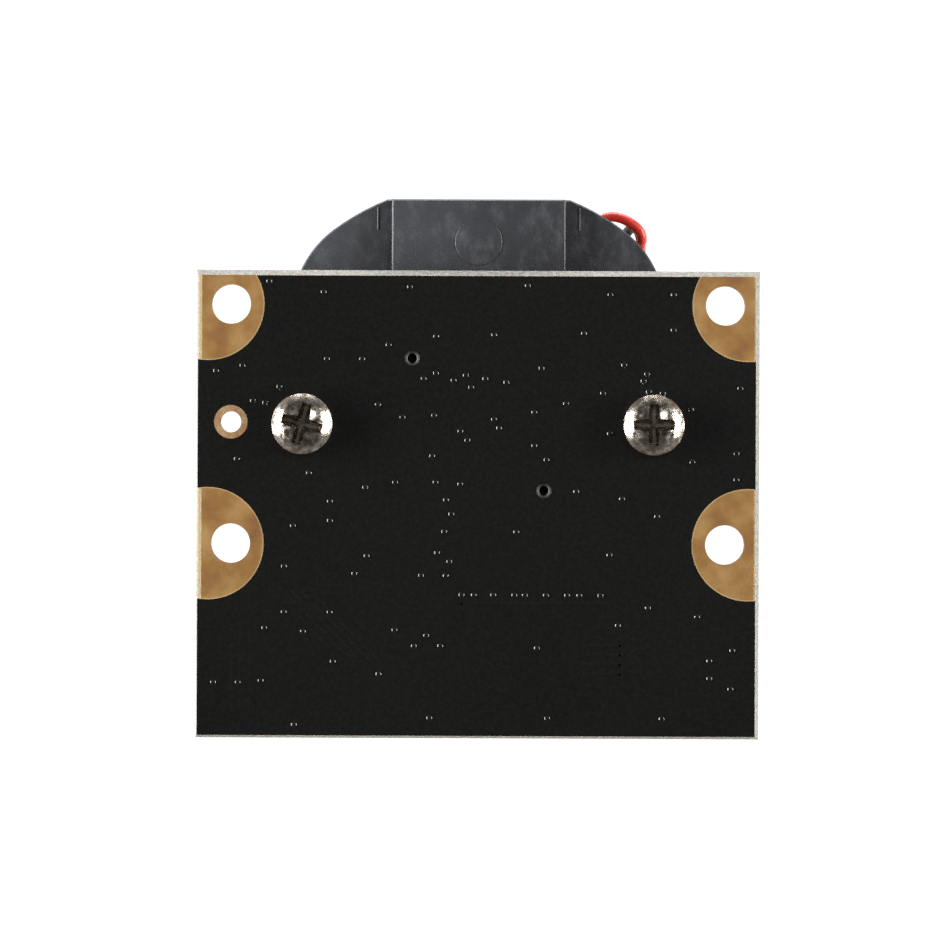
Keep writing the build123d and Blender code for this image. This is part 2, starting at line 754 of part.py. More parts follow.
with BuildPart() as lead_plug:
    with BuildSketch(level(plug_rear)):
        with Locations((header_x, 0)):
            Rectangle(cavity_deep - 2 * plug_fit, cavity_long - 2 * plug_fit)
    extrude(amount=-(plug_front - plug_rear))
    chamfer(lead_plug.faces().sort_by(Axis.Y)[-1].edges(), 0.12)
    with BuildSketch(level(plug_rear)):
        with Locations(*[(header_x, z) for z in pin_zs]):
            Rectangle(0.8, 0.8)
    extrude(amount=-(plug_front - plug_rear - 0.9), mode=Mode.SUBTRACT)
    with BuildSketch(level(plug_front - 2.0)):
        with Locations(*[(header_x - cavity_deep / 2, z) for z in pin_zs]):
            Rectangle(2 * plug_fit + 0.6, 0.5)
    extrude(amount=-0.9, mode=Mode.SUBTRACT)
keep(lead_plug, "lead_plug")

with BuildPart() as plug_contacts:
    with BuildSketch(level(plug_rear + 0.1)):
        with Locations(*[(header_x, z) for z in pin_zs]):
            Rectangle(0.7, 0.7)
        with Locations(*[(header_x, z) for z in pin_zs]):
            Rectangle(pin_side + 0.06, pin_side + 0.06, mode=Mode.SUBTRACT)
    extrude(amount=-(plug_front - plug_rear - 1.2))
keep(plug_contacts, "plug_contacts")

# The ribbon connector along the bottom edge, its mouth facing down
mouth = board_bottom + connector_from_edge
connector_z = mouth + connector_depth / 2
connector_front = board_front + connector_height
slot_rear = board_front + 0.75
with BuildPart() as connector_body:
    with BuildSketch(level(board_front)):
        with Locations((0, connector_z)):
            Rectangle(connector_width, connector_depth)
    extrude(amount=-connector_height)
    chamfer(connector_body.faces().sort_by(Axis.Y)[-1].edges().filter_by(Axis.X), 0.2)
    with BuildSketch(level(slot_rear)):
        with Locations((0, mouth + slot_depth / 2)):
            Rectangle(connector_width - 2 * slot_side, slot_depth)
    extrude(amount=-slot_height, mode=Mode.SUBTRACT)
    contact_xs = [(i - (ribbon_pins - 1) / 2) * ribbon_pitch for i in range(ribbon_pins)]
    with BuildSketch(level(slot_rear - 0.2)):
        with Locations(*[(x, mouth + connector_depth / 2 + 0.35) for x in contact_xs]):
            Rectangle(contact_width, connector_depth - 0.7)
    extrude(amount=-0.2, mode=Mode.SUBTRACT)
keep(connector_body, "connector_body")

with BuildPart() as connector_contacts:
    for x in contact_xs:
        with BuildSketch(level(slot_rear - 0.2)):
            with Locations((x, mouth + connector_depth / 2 + 0.35)):
                Rectangle(contact_width, connector_depth - 0.7)
        extrude(amount=-0.2)
        with BuildSketch(level(board_front)):
            with Locations((x, mouth + connector_depth + 0.1)):
                Rectangle(contact_width, 0.2)
        extrude(amount=-(slot_rear - board_front))
        with BuildSketch(level(board_front)):
            with Locations((x, mouth + connector_depth + 0.35)):
                Rectangle(contact_width, 0.7)
        extrude(amount=-0.18)
keep(connector_contacts, "connector_contacts")

tongue_front = slot_rear + slot_height - latch_fit
with BuildPart() as connector_latch:
    tongue_width = connector_width - 2 * slot_side - 2 * latch_fit
    with BuildSketch(level(tongue_front - latch_tongue)):
        with Locations((0, mouth - latch_bar / 2 + 1.2)):
            Rectangle(tongue_width, latch_bar + 2.4)
    extrude(amount=-latch_tongue)
    with BuildSketch(level(tongue_front - latch_tongue)):
        with Locations((0, mouth - latch_fit - latch_bar / 2)):
            Rectangle(connector_width + 2 * (latch_fit + latch_arm), latch_bar)
    extrude(amount=-(connector_front - tongue_front + latch_tongue - 0.15))
    for x in (-1, 1):
        arm_x = x * (connector_width / 2 + latch_fit + latch_arm / 2)
        with BuildSketch(level(slot_rear)):
            with Locations((arm_x, mouth + 0.7)):
                Rectangle(latch_arm, 3.0)
        extrude(amount=-(slot_height - latch_fit))
keep(connector_latch, "connector_latch")

with BuildPart() as connector_anchors:
    for x in (-1, 1):
        with BuildSketch(level(board_front)):
            with Locations((x * (connector_width / 2 + 0.45), mouth + connector_depth - 1.0)):
                Rectangle(0.9, 1.5)
        extrude(amount=-0.2)
        with BuildSketch(level(board_front)):
            with Locations((x * (connector_width / 2 + 0.1), mouth + connector_depth - 1.0)):
                Rectangle(0.2, 1.5)
        extrude(amount=-1.6)
keep(connector_anchors, "connector_anchors")

# Small parts soldered on the front face: (x, z, turn) of each, placed from the side and bottom edges
right, left, low = side, -side, board_bottom
capacitor_size, resistor_size = (1.6, 0.8, 0.75), (1.0, 0.5, 0.35)  # length, width, height
end_share = 0.2  # of a chip's length, for each metal end
capacitors = [
    (left + 4.45, 3.1, 90), (left + 4.45, 5.3, 90), (left + 4.45, 7.4, 90), (left + 2.1, 2.6, 0),
    (left + 4.2, -3.1, 90), (left + 1.4, low + 6.7, 90), (left + 3.9, low + 6.7, 90),
    (left + 1.5, low + 1.5, 90), (right - 4.45, 3.1, 90), (right - 4.45, 5.3, 90),
    (right - 4.45, -4.6, 90), (right - 4.3, low + 6.9, 0), (right - 0.95, low + 4.2, 90),
    (right - 0.95, low + 1.6, 90),
]
resistors = [
    (left + 1.9, 1.55, 0), (left + 1.9, -1.4, 0), (left + 3.3, -1.4, 0), (left + 4.5, -5.3, 90),
    (left + 4.5, -6.8, 90), (left + 3.9, low + 1.1, 0), (right - 4.5, 7.1, 90),
    (right - 4.45, -6.6, 90), (right - 5.4, low + 7.9, 0), (right - 2.7, low + 0.9, 0),
]
regulator_spot = (left + 2.7, low + 4.3)
driver_spot = (right - 3.0, low + 3.4)
clock_spot = (right - 1.8, low + 6.45)
package_leads = (-0.95, 0, 0.95)


def chips(places, size, ends):
    """The ceramic middles of two-ended chips, or their metal ends."""
    length, width, height = size
    end = end_share * length
    with BuildPart() as group:
        for x, z, turn in places:
            with BuildSketch(level(board_front)):
                with Locations(Location((x, z, 0), (0, 0, turn))):
                    if ends:
                        with Locations(((length - end) / 2, 0), ((end - length) / 2, 0)):
                            Rectangle(end, width)
                    else:
                        Rectangle(length - 2 * end, width - 0.04)
            extrude(amount=-(height if ends else height - 0.02))
    return group


def small_package(spot, long, wide, high):
    """A moulded body on its spot, and its gull-wing leads along both long sides."""
    with BuildPart() as body:
        with BuildSketch(level(board_front + 0.1)):
            with Locations(spot):
                Rectangle(long, wide)
        extrude(amount=-(high - 0.1))
        chamfer(body.faces().sort_by(Axis.Y)[-1].edges(), 0.12)
    with BuildPart() as leads:
        for row in (-1, 1):
            feet = [(spot[0] + x, spot[1] + row * (wide / 2 + 0.4)) for x in package_leads]
            legs = [(spot[0] + x, spot[1] + row * (wide / 2 + 0.11)) for x in package_leads]
            with BuildSketch(level(board_front)):
                with Locations(*feet):
                    Rectangle(0.38, 0.5)
            extrude(amount=-0.14)
            with BuildSketch(level(board_front)):
                with Locations(*legs):
                    Rectangle(0.38, 0.22)
            extrude(amount=-(high / 2 + 0.05))
    return body, leads


chip_capacitors = chips(capacitors, capacitor_size, ends=False)
keep(chip_capacitors, "chip_capacitors")
chip_resistors = chips(resistors, resistor_size, ends=False)
keep(chip_resistors, "chip_resistors")
with BuildPart() as chip_ends:
    add(chips(capacitors, capacitor_size, ends=True).part)
    add(chips(resistors, resistor_size, ends=True).part)
keep(chip_ends, "chip_ends")

voltage_regulator, regulator_leads = small_package(regulator_spot, 2.9, 1.6, 1.1)
filter_driver, driver_leads = small_package(driver_spot, 3.0, 1.8, 1.15)
keep(voltage_regulator, "voltage_regulator")
keep(filter_driver, "filter_driver_chip")
with BuildPart() as package_legs:
    add(regulator_leads.part)
    add(driver_leads.part)
keep(package_legs, "package_legs")

with BuildPart() as clock_base:
    with BuildSketch(level(board_front)):
        with Locations(clock_spot):
            RectangleRounded(2.5, 2.0, 0.12)
    extrude(amount=-0.45)
keep(clock_base, "clock_base")

with BuildPart() as clock_lid:
    with BuildSketch(level(board_front + 0.45)):
        with Locations(clock_spot):
            RectangleRounded(2.15, 1.65, 0.25)
    extrude(amount=-0.3)
    chamfer(clock_lid.faces().sort_by(Axis.Y)[-1].edges(), 0.08)
keep(clock_lid, "clock_lid")

# The coil's two leads: out through the cover, over its right shoulder and down into the plug
lead_start = board_front + terminal_end
red_route = [
    (terminal_xs[0], lead_start, terminal_z), (terminal_xs[0], 8.9, terminal_z),
    (terminal_xs[0] + 0.45, 10.2, terminal_z + 0.3), (6.5, 10.6, 11.7), (7.9, 10.1, 12.36),
    (9.6, 9.9, 11.32), (9.35, 10.7, 10.2), (9.2, 12.0, 8.4), (10.0, 12.6, 5.9), (11.3, 12.9, 3.4),
    (11.8, 13.3, 0.5), (12.6, 12.9, -1.9), (13.9, 11.7, -2.5), (14.6, 10.2, -1.4), (14.3, 9.2, 0.2),
    (header_x, 8.0, pin_zs[0]), (header_x, plug_front, pin_zs[0]),
]
black_route = [
    (terminal_xs[1], lead_start, terminal_z), (terminal_xs[1], 9.2, terminal_z),
    (terminal_xs[1] + 0.6, 10.5, terminal_z - 0.15), (5.9, 10.6, 10.0), (7.4, 10.0, 9.5),
    (8.25, 10.3, 10.7), (8.95, 11.2, 11.75), (9.5, 12.4, 11.2), (9.45, 13.4, 9.9), (9.8, 13.8, 8.2),
    (10.6, 13.8, 6.1), (11.7, 13.7, 3.6), (12.5, 12.9, 1.0), (12.7, 11.9, -1.5), (13.1, 10.7, -3.2),
    (13.9, 9.6, -3.3), (14.3, 8.9, -2.1), (header_x, 8.0, pin_zs[1]), (header_x, plug_front, pin_zs[1]),
]


def cord(route, name):
    """A tube along straight runs joined by arcs, each as large as its two runs allow."""
    points = [Vector(*p) for p in route]
    runs = [b - a for a, b in zip(points, points[1:])]
    radii = []
    for before, after in zip(runs, runs[1:]):
        shorter = min(before.length, after.length)
        radii.append(0.45 * shorter / tan(radians(before.get_angle(after)) / 2))
    with BuildPart() as tube:
        with BuildLine() as path:
            FilletPolyline(*points, radius=radii)
        with BuildSketch(Plane(origin=points[0], z_dir=runs[0])):
            Circle(lead_d / 2)
        sweep(path=path.wires()[0])
    long = path.wires()[0].length
    filled = tube.part.volume / (pi * lead_d**2 / 4 * long)
    print(f"{name}: length {long:.2f}, volume over section times length {filled:.4f}")
    print("  radii", [round(r, 2) for r in radii])
    keep(tube, name)


cord(red_route, "red_lead")
cord(black_route, "black_lead")
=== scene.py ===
import math

import bpy
import numpy as np
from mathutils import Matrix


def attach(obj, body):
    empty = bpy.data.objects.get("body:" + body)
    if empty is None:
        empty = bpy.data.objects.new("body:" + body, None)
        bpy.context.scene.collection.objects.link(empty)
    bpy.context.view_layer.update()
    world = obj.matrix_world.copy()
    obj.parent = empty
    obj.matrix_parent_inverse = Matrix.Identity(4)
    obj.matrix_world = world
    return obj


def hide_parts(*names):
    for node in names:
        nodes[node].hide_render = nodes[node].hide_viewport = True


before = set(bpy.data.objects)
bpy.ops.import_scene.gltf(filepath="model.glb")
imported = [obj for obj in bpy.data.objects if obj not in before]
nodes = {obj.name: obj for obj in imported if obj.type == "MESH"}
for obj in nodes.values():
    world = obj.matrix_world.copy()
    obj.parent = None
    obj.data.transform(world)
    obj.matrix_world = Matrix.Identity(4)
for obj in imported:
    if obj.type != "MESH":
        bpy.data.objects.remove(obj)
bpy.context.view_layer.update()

mm = 0.001
perMm = 1000.0  # the scale of a noise whose grains are a millimetre across
scene = bpy.context.scene
scene.view_settings.view_transform = "Standard"
print("frame loaded:", len(nodes), "nodes")

# Studio: camera square to the board's rear, white paper behind, softboxes left and right, darkness in front
studio = {
    "cameraDistance": 0.45,
    "pictureWidth": 0.05398,  # across the board's rear face
    "lookAt": (-0.00016, -0.00287),
    "roll": -0.23,
    "sensorWidth": 36.0,
    "paperDistance": 0.9,
    "paperHalfWidth": 0.5,
    "paperGlow": 1.15,
    "floorDrop": 0.16,
    "floorFront": 0.02,
    "floorReach": 1.6,
    "darkBehind": -0.40,  # the room fades from here
    "paleBeyond": 0.08,  # to here, both along the view
    "darkTone": 0.10,
    "paleTone": 0.50,
}
softboxes = [
    # name, place, width, height, watts; each one faces the lens axis at the board
    ("leftBox", (-0.32, -0.085, 0.02), 0.06, 0.30, 3.0),
    ("rightBox", (0.32, -0.09, 0.02), 0.05, 0.28, 1.7),
    ("upperRightBox", (0.18, -0.32, 0.20), 0.16, 0.12, 0.35),
    ("overhead", (0.0, 0.12, 0.42), 0.40, 0.20, 3.1),
    ("lensKey", (-0.26, 0.36, 0.26), 0.26, 0.26, 1.5),
    ("lensFill", (0.34, 0.30, 0.04), 0.16, 0.36, 0.7),
]


def linear(hexValue):
    # an sRGB hex value as linear red, green, blue and alpha
    parts = [int(hexValue[i:i + 2], 16) / 255 for i in (1, 3, 5)]
    return [c / 12.92 if c <= 0.04045 else ((c + 0.055) / 1.055) ** 2.4 for c in parts] + [1.0]


def addNode(tree, kind, settings=None, links=None):
    # one node: settings go to its inputs or its own fields, links come from sockets or nodes
    node = tree.nodes.new("ShaderNode" + kind)
    for key, value in (settings or {}).items():
        if key == "stops":
            ramp = node.color_ramp
            while len(ramp.elements) < len(value):
                ramp.elements.new(0.5)
            for stop, (place, tone) in zip(ramp.elements, value):
                stop.position = place
                stop.color = linear(tone) if isinstance(tone, str) else [tone, tone, tone, 1.0]
        elif isinstance(key, int) or key in node.inputs:
            node.inputs[key].default_value = linear(value) if isinstance(value, str) else value
        else:
            setattr(node, key, value)
    for key, source in (links or {}).items():
        socket = source if isinstance(source, bpy.types.NodeSocket) else source.outputs[0]
        tree.links.new(socket, node.inputs[key])
    return node


def emptyMaterial(name):
    # a material with no nodes yet, and its node tree
    material = bpy.data.materials.new(name)
    material.use_nodes = True
    material.node_tree.nodes.clear()
    return material, material.node_tree


def buildStudio():
    data = bpy.data.cameras.new("productCamera")
    data.sensor_width = studio["sensorWidth"]
    data.lens = studio["cameraDistance"] * studio["sensorWidth"] / studio["pictureWidth"]
    data.clip_start, data.clip_end = 0.02, 20.0
    camera = bpy.data.objects.new("productCamera", data)
    x, z = studio["lookAt"]
    camera.location = (x, -studio["cameraDistance"], z)
    camera.rotation_euler = (math.pi / 2, math.radians(studio["roll"]), 0.0)
    scene.collection.objects.link(camera)
    scene.camera = camera
    for name, place, width, height, watts in softboxes:
        lamp = bpy.data.lights.new(name, "AREA")
        lamp.shape, lamp.size, lamp.size_y, lamp.energy = "RECTANGLE", width, height, watts
        box = bpy.data.objects.new(name, lamp)
        box.location = place
        aim = -np.array(place)
        tilt = math.pi - math.acos(aim[2] / np.linalg.norm(aim))
        box.rotation_euler = (tilt, 0.0, math.atan2(aim[1], aim[0]) - math.pi / 2)
        scene.collection.objects.link(box)
    world = bpy.data.worlds.new("studioRoom")
    world.use_nodes = True
    tree = world.node_tree
    tree.nodes.clear()
    spot = addNode(tree, "TexCoord").outputs["Generated"]
    facing = addNode(tree, "SeparateXYZ", links={0: spot})
    # a dark room on the camera's side, a pale one all round
    tone = addNode(tree, "MapRange", {
        "From Min": studio["darkBehind"], "From Max": studio["paleBeyond"], "To Min": studio["darkTone"],
        "To Max": studio["paleTone"], "interpolation_type": "SMOOTHSTEP"}, {"Value": facing.outputs["Y"]})
    room = addNode(tree, "Background", {"Color": "#f4f2ef"}, {"Strength": tone})
    addNode(tree, "OutputWorld", links={"Surface": room})
    scene.world = world
    # glowing white paper well behind the board, and a pale floor below
    low, front, wide = -studio["floorDrop"], studio["floorFront"], studio["floorReach"]
    back, half = studio["paperDistance"], studio["paperHalfWidth"]
    sheets = {
        "whitePaper": [(-half, back, low), (half, back, low), (half, back, half), (-half, back, half)],
        "studioFloor": [(-wide, front, low), (wide, front, low), (wide, wide, low), (-wide, wide, low)],
    }
    for name, corners in sheets.items():
        mesh = bpy.data.meshes.new(name)
        mesh.from_pydata(corners, [], [(0, 1, 2, 3)])
        sheet = bpy.data.objects.new(name, mesh)
        scene.collection.objects.link(sheet)
        material, tree = emptyMaterial(name)
        if name == "whitePaper":
            skin = addNode(tree, "Emission", {"Color": "#ffffff", "Strength": studio["paperGlow"]})
        else:
            skin = addNode(tree, "BsdfPrincipled", {"Base Color": "#e9e7e3", "Roughness": 0.8})
        addNode(tree, "OutputMaterial", links={"Surface": skin})
        mesh.materials.append(material)


buildStudio()
print("studio built")


def makeFinish(name, look):
    # a finish from two noises: a slow one varies the tone, a fine one the gloss and the relief
    material, tree = emptyMaterial(name)
    place = addNode(tree, "TexCoord").outputs["Object"]
    spot = addNode(tree, "Mapping", {"Scale": look.get("stretch", (1.0, 1.0, 1.0))}, {"Vector": place})
    slow = addNode(tree, "TexNoise", {"Scale": perMm / look["toneSize"], "Detail": 4.0, "Roughness": 0.55},
                   {"Vector": spot})
    fine = addNode(tree, "TexNoise", {"Scale": perMm / look["grainSize"], "Detail": 3.0, "Roughness": 0.6},
                   {"Vector": spot})
    tone = addNode(tree, "ValToRGB", {"stops": [(0.32, look["dark"]), (0.68, look["light"])]}, {"Fac": slow})
    gloss = addNode(tree, "MapRange", {"From Min": 0.3, "From Max": 0.7, "To Min": look["rough"][0],
                                       "To Max": look["rough"][1]}, {"Value": fine})
    relief = addNode(tree, "Bump", {"Strength": 1.0, "Distance": look["grainDepth"] * mm}, {"Height": fine})
    skin = addNode(tree, "BsdfPrincipled", look.get("shader", {}),
                   {"Base Color": tone, "Roughness": gloss, "Normal": relief})
    addNode(tree, "OutputMaterial", links={"Surface": skin})
    return material


def dress(node, material):
    # gives a CAD node its finish
    slots = nodes[node].data.materials
    slots.clear()
    slots.append(material)


# Leads: thin vinyl hook-up wire, each drawn along a fixed route
leadLook = {"diameter": 0.58, "redLength": 31.3, "blackLength": 33.0}
redRoute = [
    (5.0, 6.3, 10.755), (5.0, 8.9, 10.755), (5.45, 10.2, 11.055), (6.5, 10.6, 11.7), (7.9, 10.1, 12.36),
    (9.6, 9.9, 11.32), (9.35, 10.7, 10.2), (9.2, 12.0, 8.4), (10.0, 12.6, 5.9), (11.3, 12.9, 3.4),
    (11.8, 13.3, 0.5), (12.6, 12.9, -1.9), (13.9, 11.7, -2.5), (14.6, 10.2, -1.4), (14.3, 9.2, 0.2),
    (14.0, 8.0, 0.625), (14.0, 6.4, 0.625),
]
blackRoute = [
    (4.0, 6.3, 10.755), (4.0, 9.2, 10.755), (4.6, 10.5, 10.605), (5.9, 10.6, 10.0), (7.4, 10.0, 9.5),
    (8.25, 10.3, 10.7), (8.95, 11.2, 11.75), (9.5, 12.4, 11.2), (9.45, 13.4, 9.9), (9.8, 13.8, 8.2),
    (10.6, 13.8, 6.1), (11.7, 13.7, 3.6), (12.5, 12.9, 1.0), (12.7, 11.9, -1.5), (13.1, 10.7, -3.2),
    (13.9, 9.6, -3.3), (14.3, 8.9, -2.1), (14.0, 8.0, -0.625), (14.0, 6.4, -0.625),
]


def drawLead(name, route, tone):
    # the route's points are the control points of one smooth curve
    curve = bpy.data.curves.new(name, "CURVE")
    curve.dimensions = "3D"
    spline = curve.splines.new("NURBS")
    spline.points.add(len(route) - 1)
    points = np.ones((len(route), 4))
    points[:, :3] = np.array(route) * mm
    spline.points.foreach_set("co", points.ravel())
    spline.order_u = 3
    spline.use_endpoint_u = True
    curve.bevel_depth = leadLook["diameter"] / 2 * mm
    curve.bevel_resolution = 6
    curve.resolution_u = 12
    curve.use_fill_caps = True
    lead = bpy.data.objects.new(name, curve)
    scene.collection.objects.link(lead)
    curve.materials.append(tone)
    return lead


# Soft PVC, extruded: an even satin colour with a waxy highlight and faint draw marks
redVinyl = makeFinish("redVinylInsulation", {
    "dark": "#b8261a", "light": "#cf3626", "toneSize": 2.5, "grainSize": 0.12, "grainDepth": 0.004,
    "rough": (0.30, 0.42), "shader": {"IOR": 1.53, "Subsurface Weight": 0.08, "Subsurface Scale": 0.0003}})
blackVinyl = makeFinish("blackVinylInsulation", {
    "dark": "#0c0b0b", "light": "#151413", "toneSize": 2.5, "grainSize": 0.12, "grainDepth": 0.004,
    "rough": (0.55, 0.68), "shader": {"IOR": 1.5, "Specular IOR Level": 0.2}})
redLead = drawLead("redLead", redRoute, redVinyl)
blackLead = drawLead("blackLead", blackRoute, blackVinyl)
for lead, node, slot, route, length, onIt in (
        (redLead, "red_lead", "red_insulation", redRoute, leadLook["redLength"], "lead_plug"),
        (blackLead, "black_lead", "black_insulation", blackRoute, leadLook["blackLength"], "plug_contacts")):
    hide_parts(node)
    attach(lead, "camera_board")
print("leads laid")


def placePiece(name, mesh, material):
    # puts a mesh into the scene, riding on the board
    mesh.materials.clear()
    mesh.materials.append(material)
    mesh.update()
    piece = bpy.data.objects.new(name, mesh)
    scene.collection.objects.link(piece)
    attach(piece, "camera_board")
    return piece


def addPiece(name, points, faces, material, smooth=True):
    # a mesh from arrays of points, in mm, and of faces
    mesh = bpy.data.meshes.new(name)
    mesh.from_pydata((points * mm).tolist(), [], faces)
    mesh.polygons.foreach_set("use_smooth", [smooth] * len(mesh.polygons))
    return placePiece(name, mesh, material)


def gridQuads(rows, columns, copies, closed=False):
    # the cells of a grid of points kept row by row, each as its four corners, for so many grids one after
    # another; closed joins the last column to the first
    wide = columns if closed else columns - 1
    row, column = np.meshgrid(np.arange(rows - 1), np.arange(wide), indexing="ij")
    after = (column + 1) % columns
    near, far = row * columns, (row + 1) * columns
    cells = np.stack([near + column, near + after, far + after, far + column], axis=-1).reshape(-1, 4)
    return cells[None] + (np.arange(copies) * rows * columns)[:, None, None]


# The board's own sizes, in mm, which the mask and the finishes follow; its flat face ends at the scored edges
board = {
    "left": -15.92, "right": 15.78, "bottom": -17.69, "top": 8.43,
    "front": 1.6, "maskThickness": 0.05, "maskRim": 0.008,
    "landX": 15.35, "landZ": 6.8, "landOpening": 3.21,
    "controlHole": (-14.05, 0.1), "controlOpening": 0.97,
    "locating": [(-3.75, 3.75), (3.75, -3.75)], "locatingOpening": 0.43,
    "screws": [(-10.0, 0.0), (10.0, 0.0)], "screwOpening": 1.15,
}


def circleAt(centre, radius, count=64, start=0.0, end=2 * math.pi):
    # points on an arc: centre plus radius times the cosine and sine of evenly spaced angles
    turn = np.linspace(start, end, count, endpoint=abs(end - start) < 2 * math.pi - 1e-6)
    return np.column_stack([centre[0] + radius * np.cos(turn), centre[1] + radius * np.sin(turn)])


def maskOutline():
    # a rectangle whose corners and sides give way to the four lands' round openings, anticlockwise
    # from the lower right; reach and rise are the angles at which a land's circle meets the side and the top
    radius, landX, landZ = board["landOpening"], board["landX"], board["landZ"]
    rightReach = math.acos((board["right"] - landX) / radius)
    leftReach = math.acos((-board["left"] - landX) / radius)
    rise = math.asin((board["top"] - landZ) / radius)
    return np.vstack([
        [[board["right"], board["bottom"]]],
        circleAt((landX, -landZ), radius, 60, -rightReach, rightReach - 2 * math.pi),
        circleAt((landX, landZ), radius, 40, -rightReach, -math.pi - rise),
        circleAt((-landX, landZ), radius, 40, rise, leftReach - math.pi),
        circleAt((-landX, -landZ), radius, 60, math.pi - leftReach, leftReach - math.pi),
        [[board["left"], board["bottom"]]],
    ])


def maskSheet(name, level, openings, material):
    # a filled flat outline with round openings, thickened a little and its rims broken, then stood upright
    curve = bpy.data.curves.new(name + "Curve", "CURVE")
    curve.dimensions, curve.fill_mode = "2D", "BOTH"
    curve.extrude = board["maskThickness"] / 2 - board["maskRim"]
    curve.bevel_depth, curve.bevel_resolution = board["maskRim"], 1
    for loop in [maskOutline()] + [circleAt(centre, radius) for centre, radius in openings]:
        spline = curve.splines.new("POLY")
        spline.points.add(len(loop) - 1)
        spline.points.foreach_set("co", np.insert(loop, [2, 2], [0.0, 1.0], axis=1).ravel())
        spline.use_cyclic_u = True
    holder = bpy.data.objects.new(name + "Curve", curve)
    scene.collection.objects.link(holder)
    bpy.context.view_layer.update()
    sheet = bpy.data.meshes.new_from_object(holder.evaluated_get(bpy.context.evaluated_depsgraph_get()))
    bpy.data.objects.remove(holder)
    flat = np.empty(len(sheet.vertices) * 3)
    sheet.vertices.foreach_get("co", flat)
    x, z, depth = flat.reshape(-1, 3).T
    sheet.vertices.foreach_set("co", (np.column_stack([x, level - depth, z]) * mm).ravel())
    sheet.name = name
    return placePiece(name, sheet, material)


maskLook = {
    "dark": "#050504", "light": "#0a0908", "hazeSize": 14.0, "yarnPitch": 0.45, "yarnShare": 0.12,
    "inkGrain": 0.22, "grainDepth": 0.004, "rough": (0.32, 0.42),
}


def makeSolderMask():
    # Black photo-imaged epoxy ink over glass weave: almost black, satin, with a faint weave and haze
    material, tree = emptyMaterial("blackSolderMask")
    spot = addNode(tree, "TexCoord").outputs["Object"]
    axes = addNode(tree, "SeparateXYZ", links={0: spot})
    # the weave under the ink: the product of a sine across and a sine up
    waves = []
    for axis in ("X", "Z"):
        turn = addNode(tree, "Math", {"operation": "MULTIPLY", 1: 2 * math.pi / (maskLook["yarnPitch"] * mm)},
                       {0: axes.outputs[axis]})
        waves.append(addNode(tree, "Math", {"operation": "SINE"}, {0: turn}))
    weave = addNode(tree, "Math", {"operation": "MULTIPLY"}, {0: waves[0], 1: waves[1]})
    broadTone = addNode(tree, "TexNoise", {"Scale": perMm / maskLook["hazeSize"], "Detail": 3.0}, {"Vector": spot})
    ink = addNode(tree, "TexNoise", {"Scale": perMm / maskLook["inkGrain"], "Detail": 4.0, "Roughness": 0.65},
                  {"Vector": spot})
    tone = addNode(tree, "ValToRGB", {"stops": [(0.3, maskLook["dark"]), (0.7, maskLook["light"])]},
                   {"Fac": broadTone})
    gloss = addNode(tree, "MapRange", {"From Min": 0.3, "From Max": 0.7, "To Min": maskLook["rough"][0],
                                       "To Max": maskLook["rough"][1]}, {"Value": ink})
    height = addNode(tree, "Math", {"operation": "MULTIPLY_ADD", 1: maskLook["yarnShare"]},
                     {0: weave, 2: ink})
    relief = addNode(tree, "Bump", {"Strength": 1.0, "Distance": maskLook["grainDepth"] * mm},
                     {"Height": height})
    skin = addNode(tree, "BsdfPrincipled", {"IOR": 1.5, "Specular IOR Level": 0.42},
                   {"Base Color": tone, "Roughness": gloss, "Normal": relief})
    addNode(tree, "OutputMaterial", links={"Surface": skin})
    return material


solderMask = makeSolderMask()
openings = [(board["controlHole"], board["controlOpening"])]
openings += [(spot, board["locatingOpening"]) for spot in board["locating"]]
openings += [(spot, board["screwOpening"]) for spot in board["screws"]]
maskSheet("rearSolderMask", -board["maskThickness"] / 2, openings, solderMask)
maskSheet("frontSolderMask", board["front"] + board["maskThickness"] / 2, openings, solderMask)
print("solder mask printed")

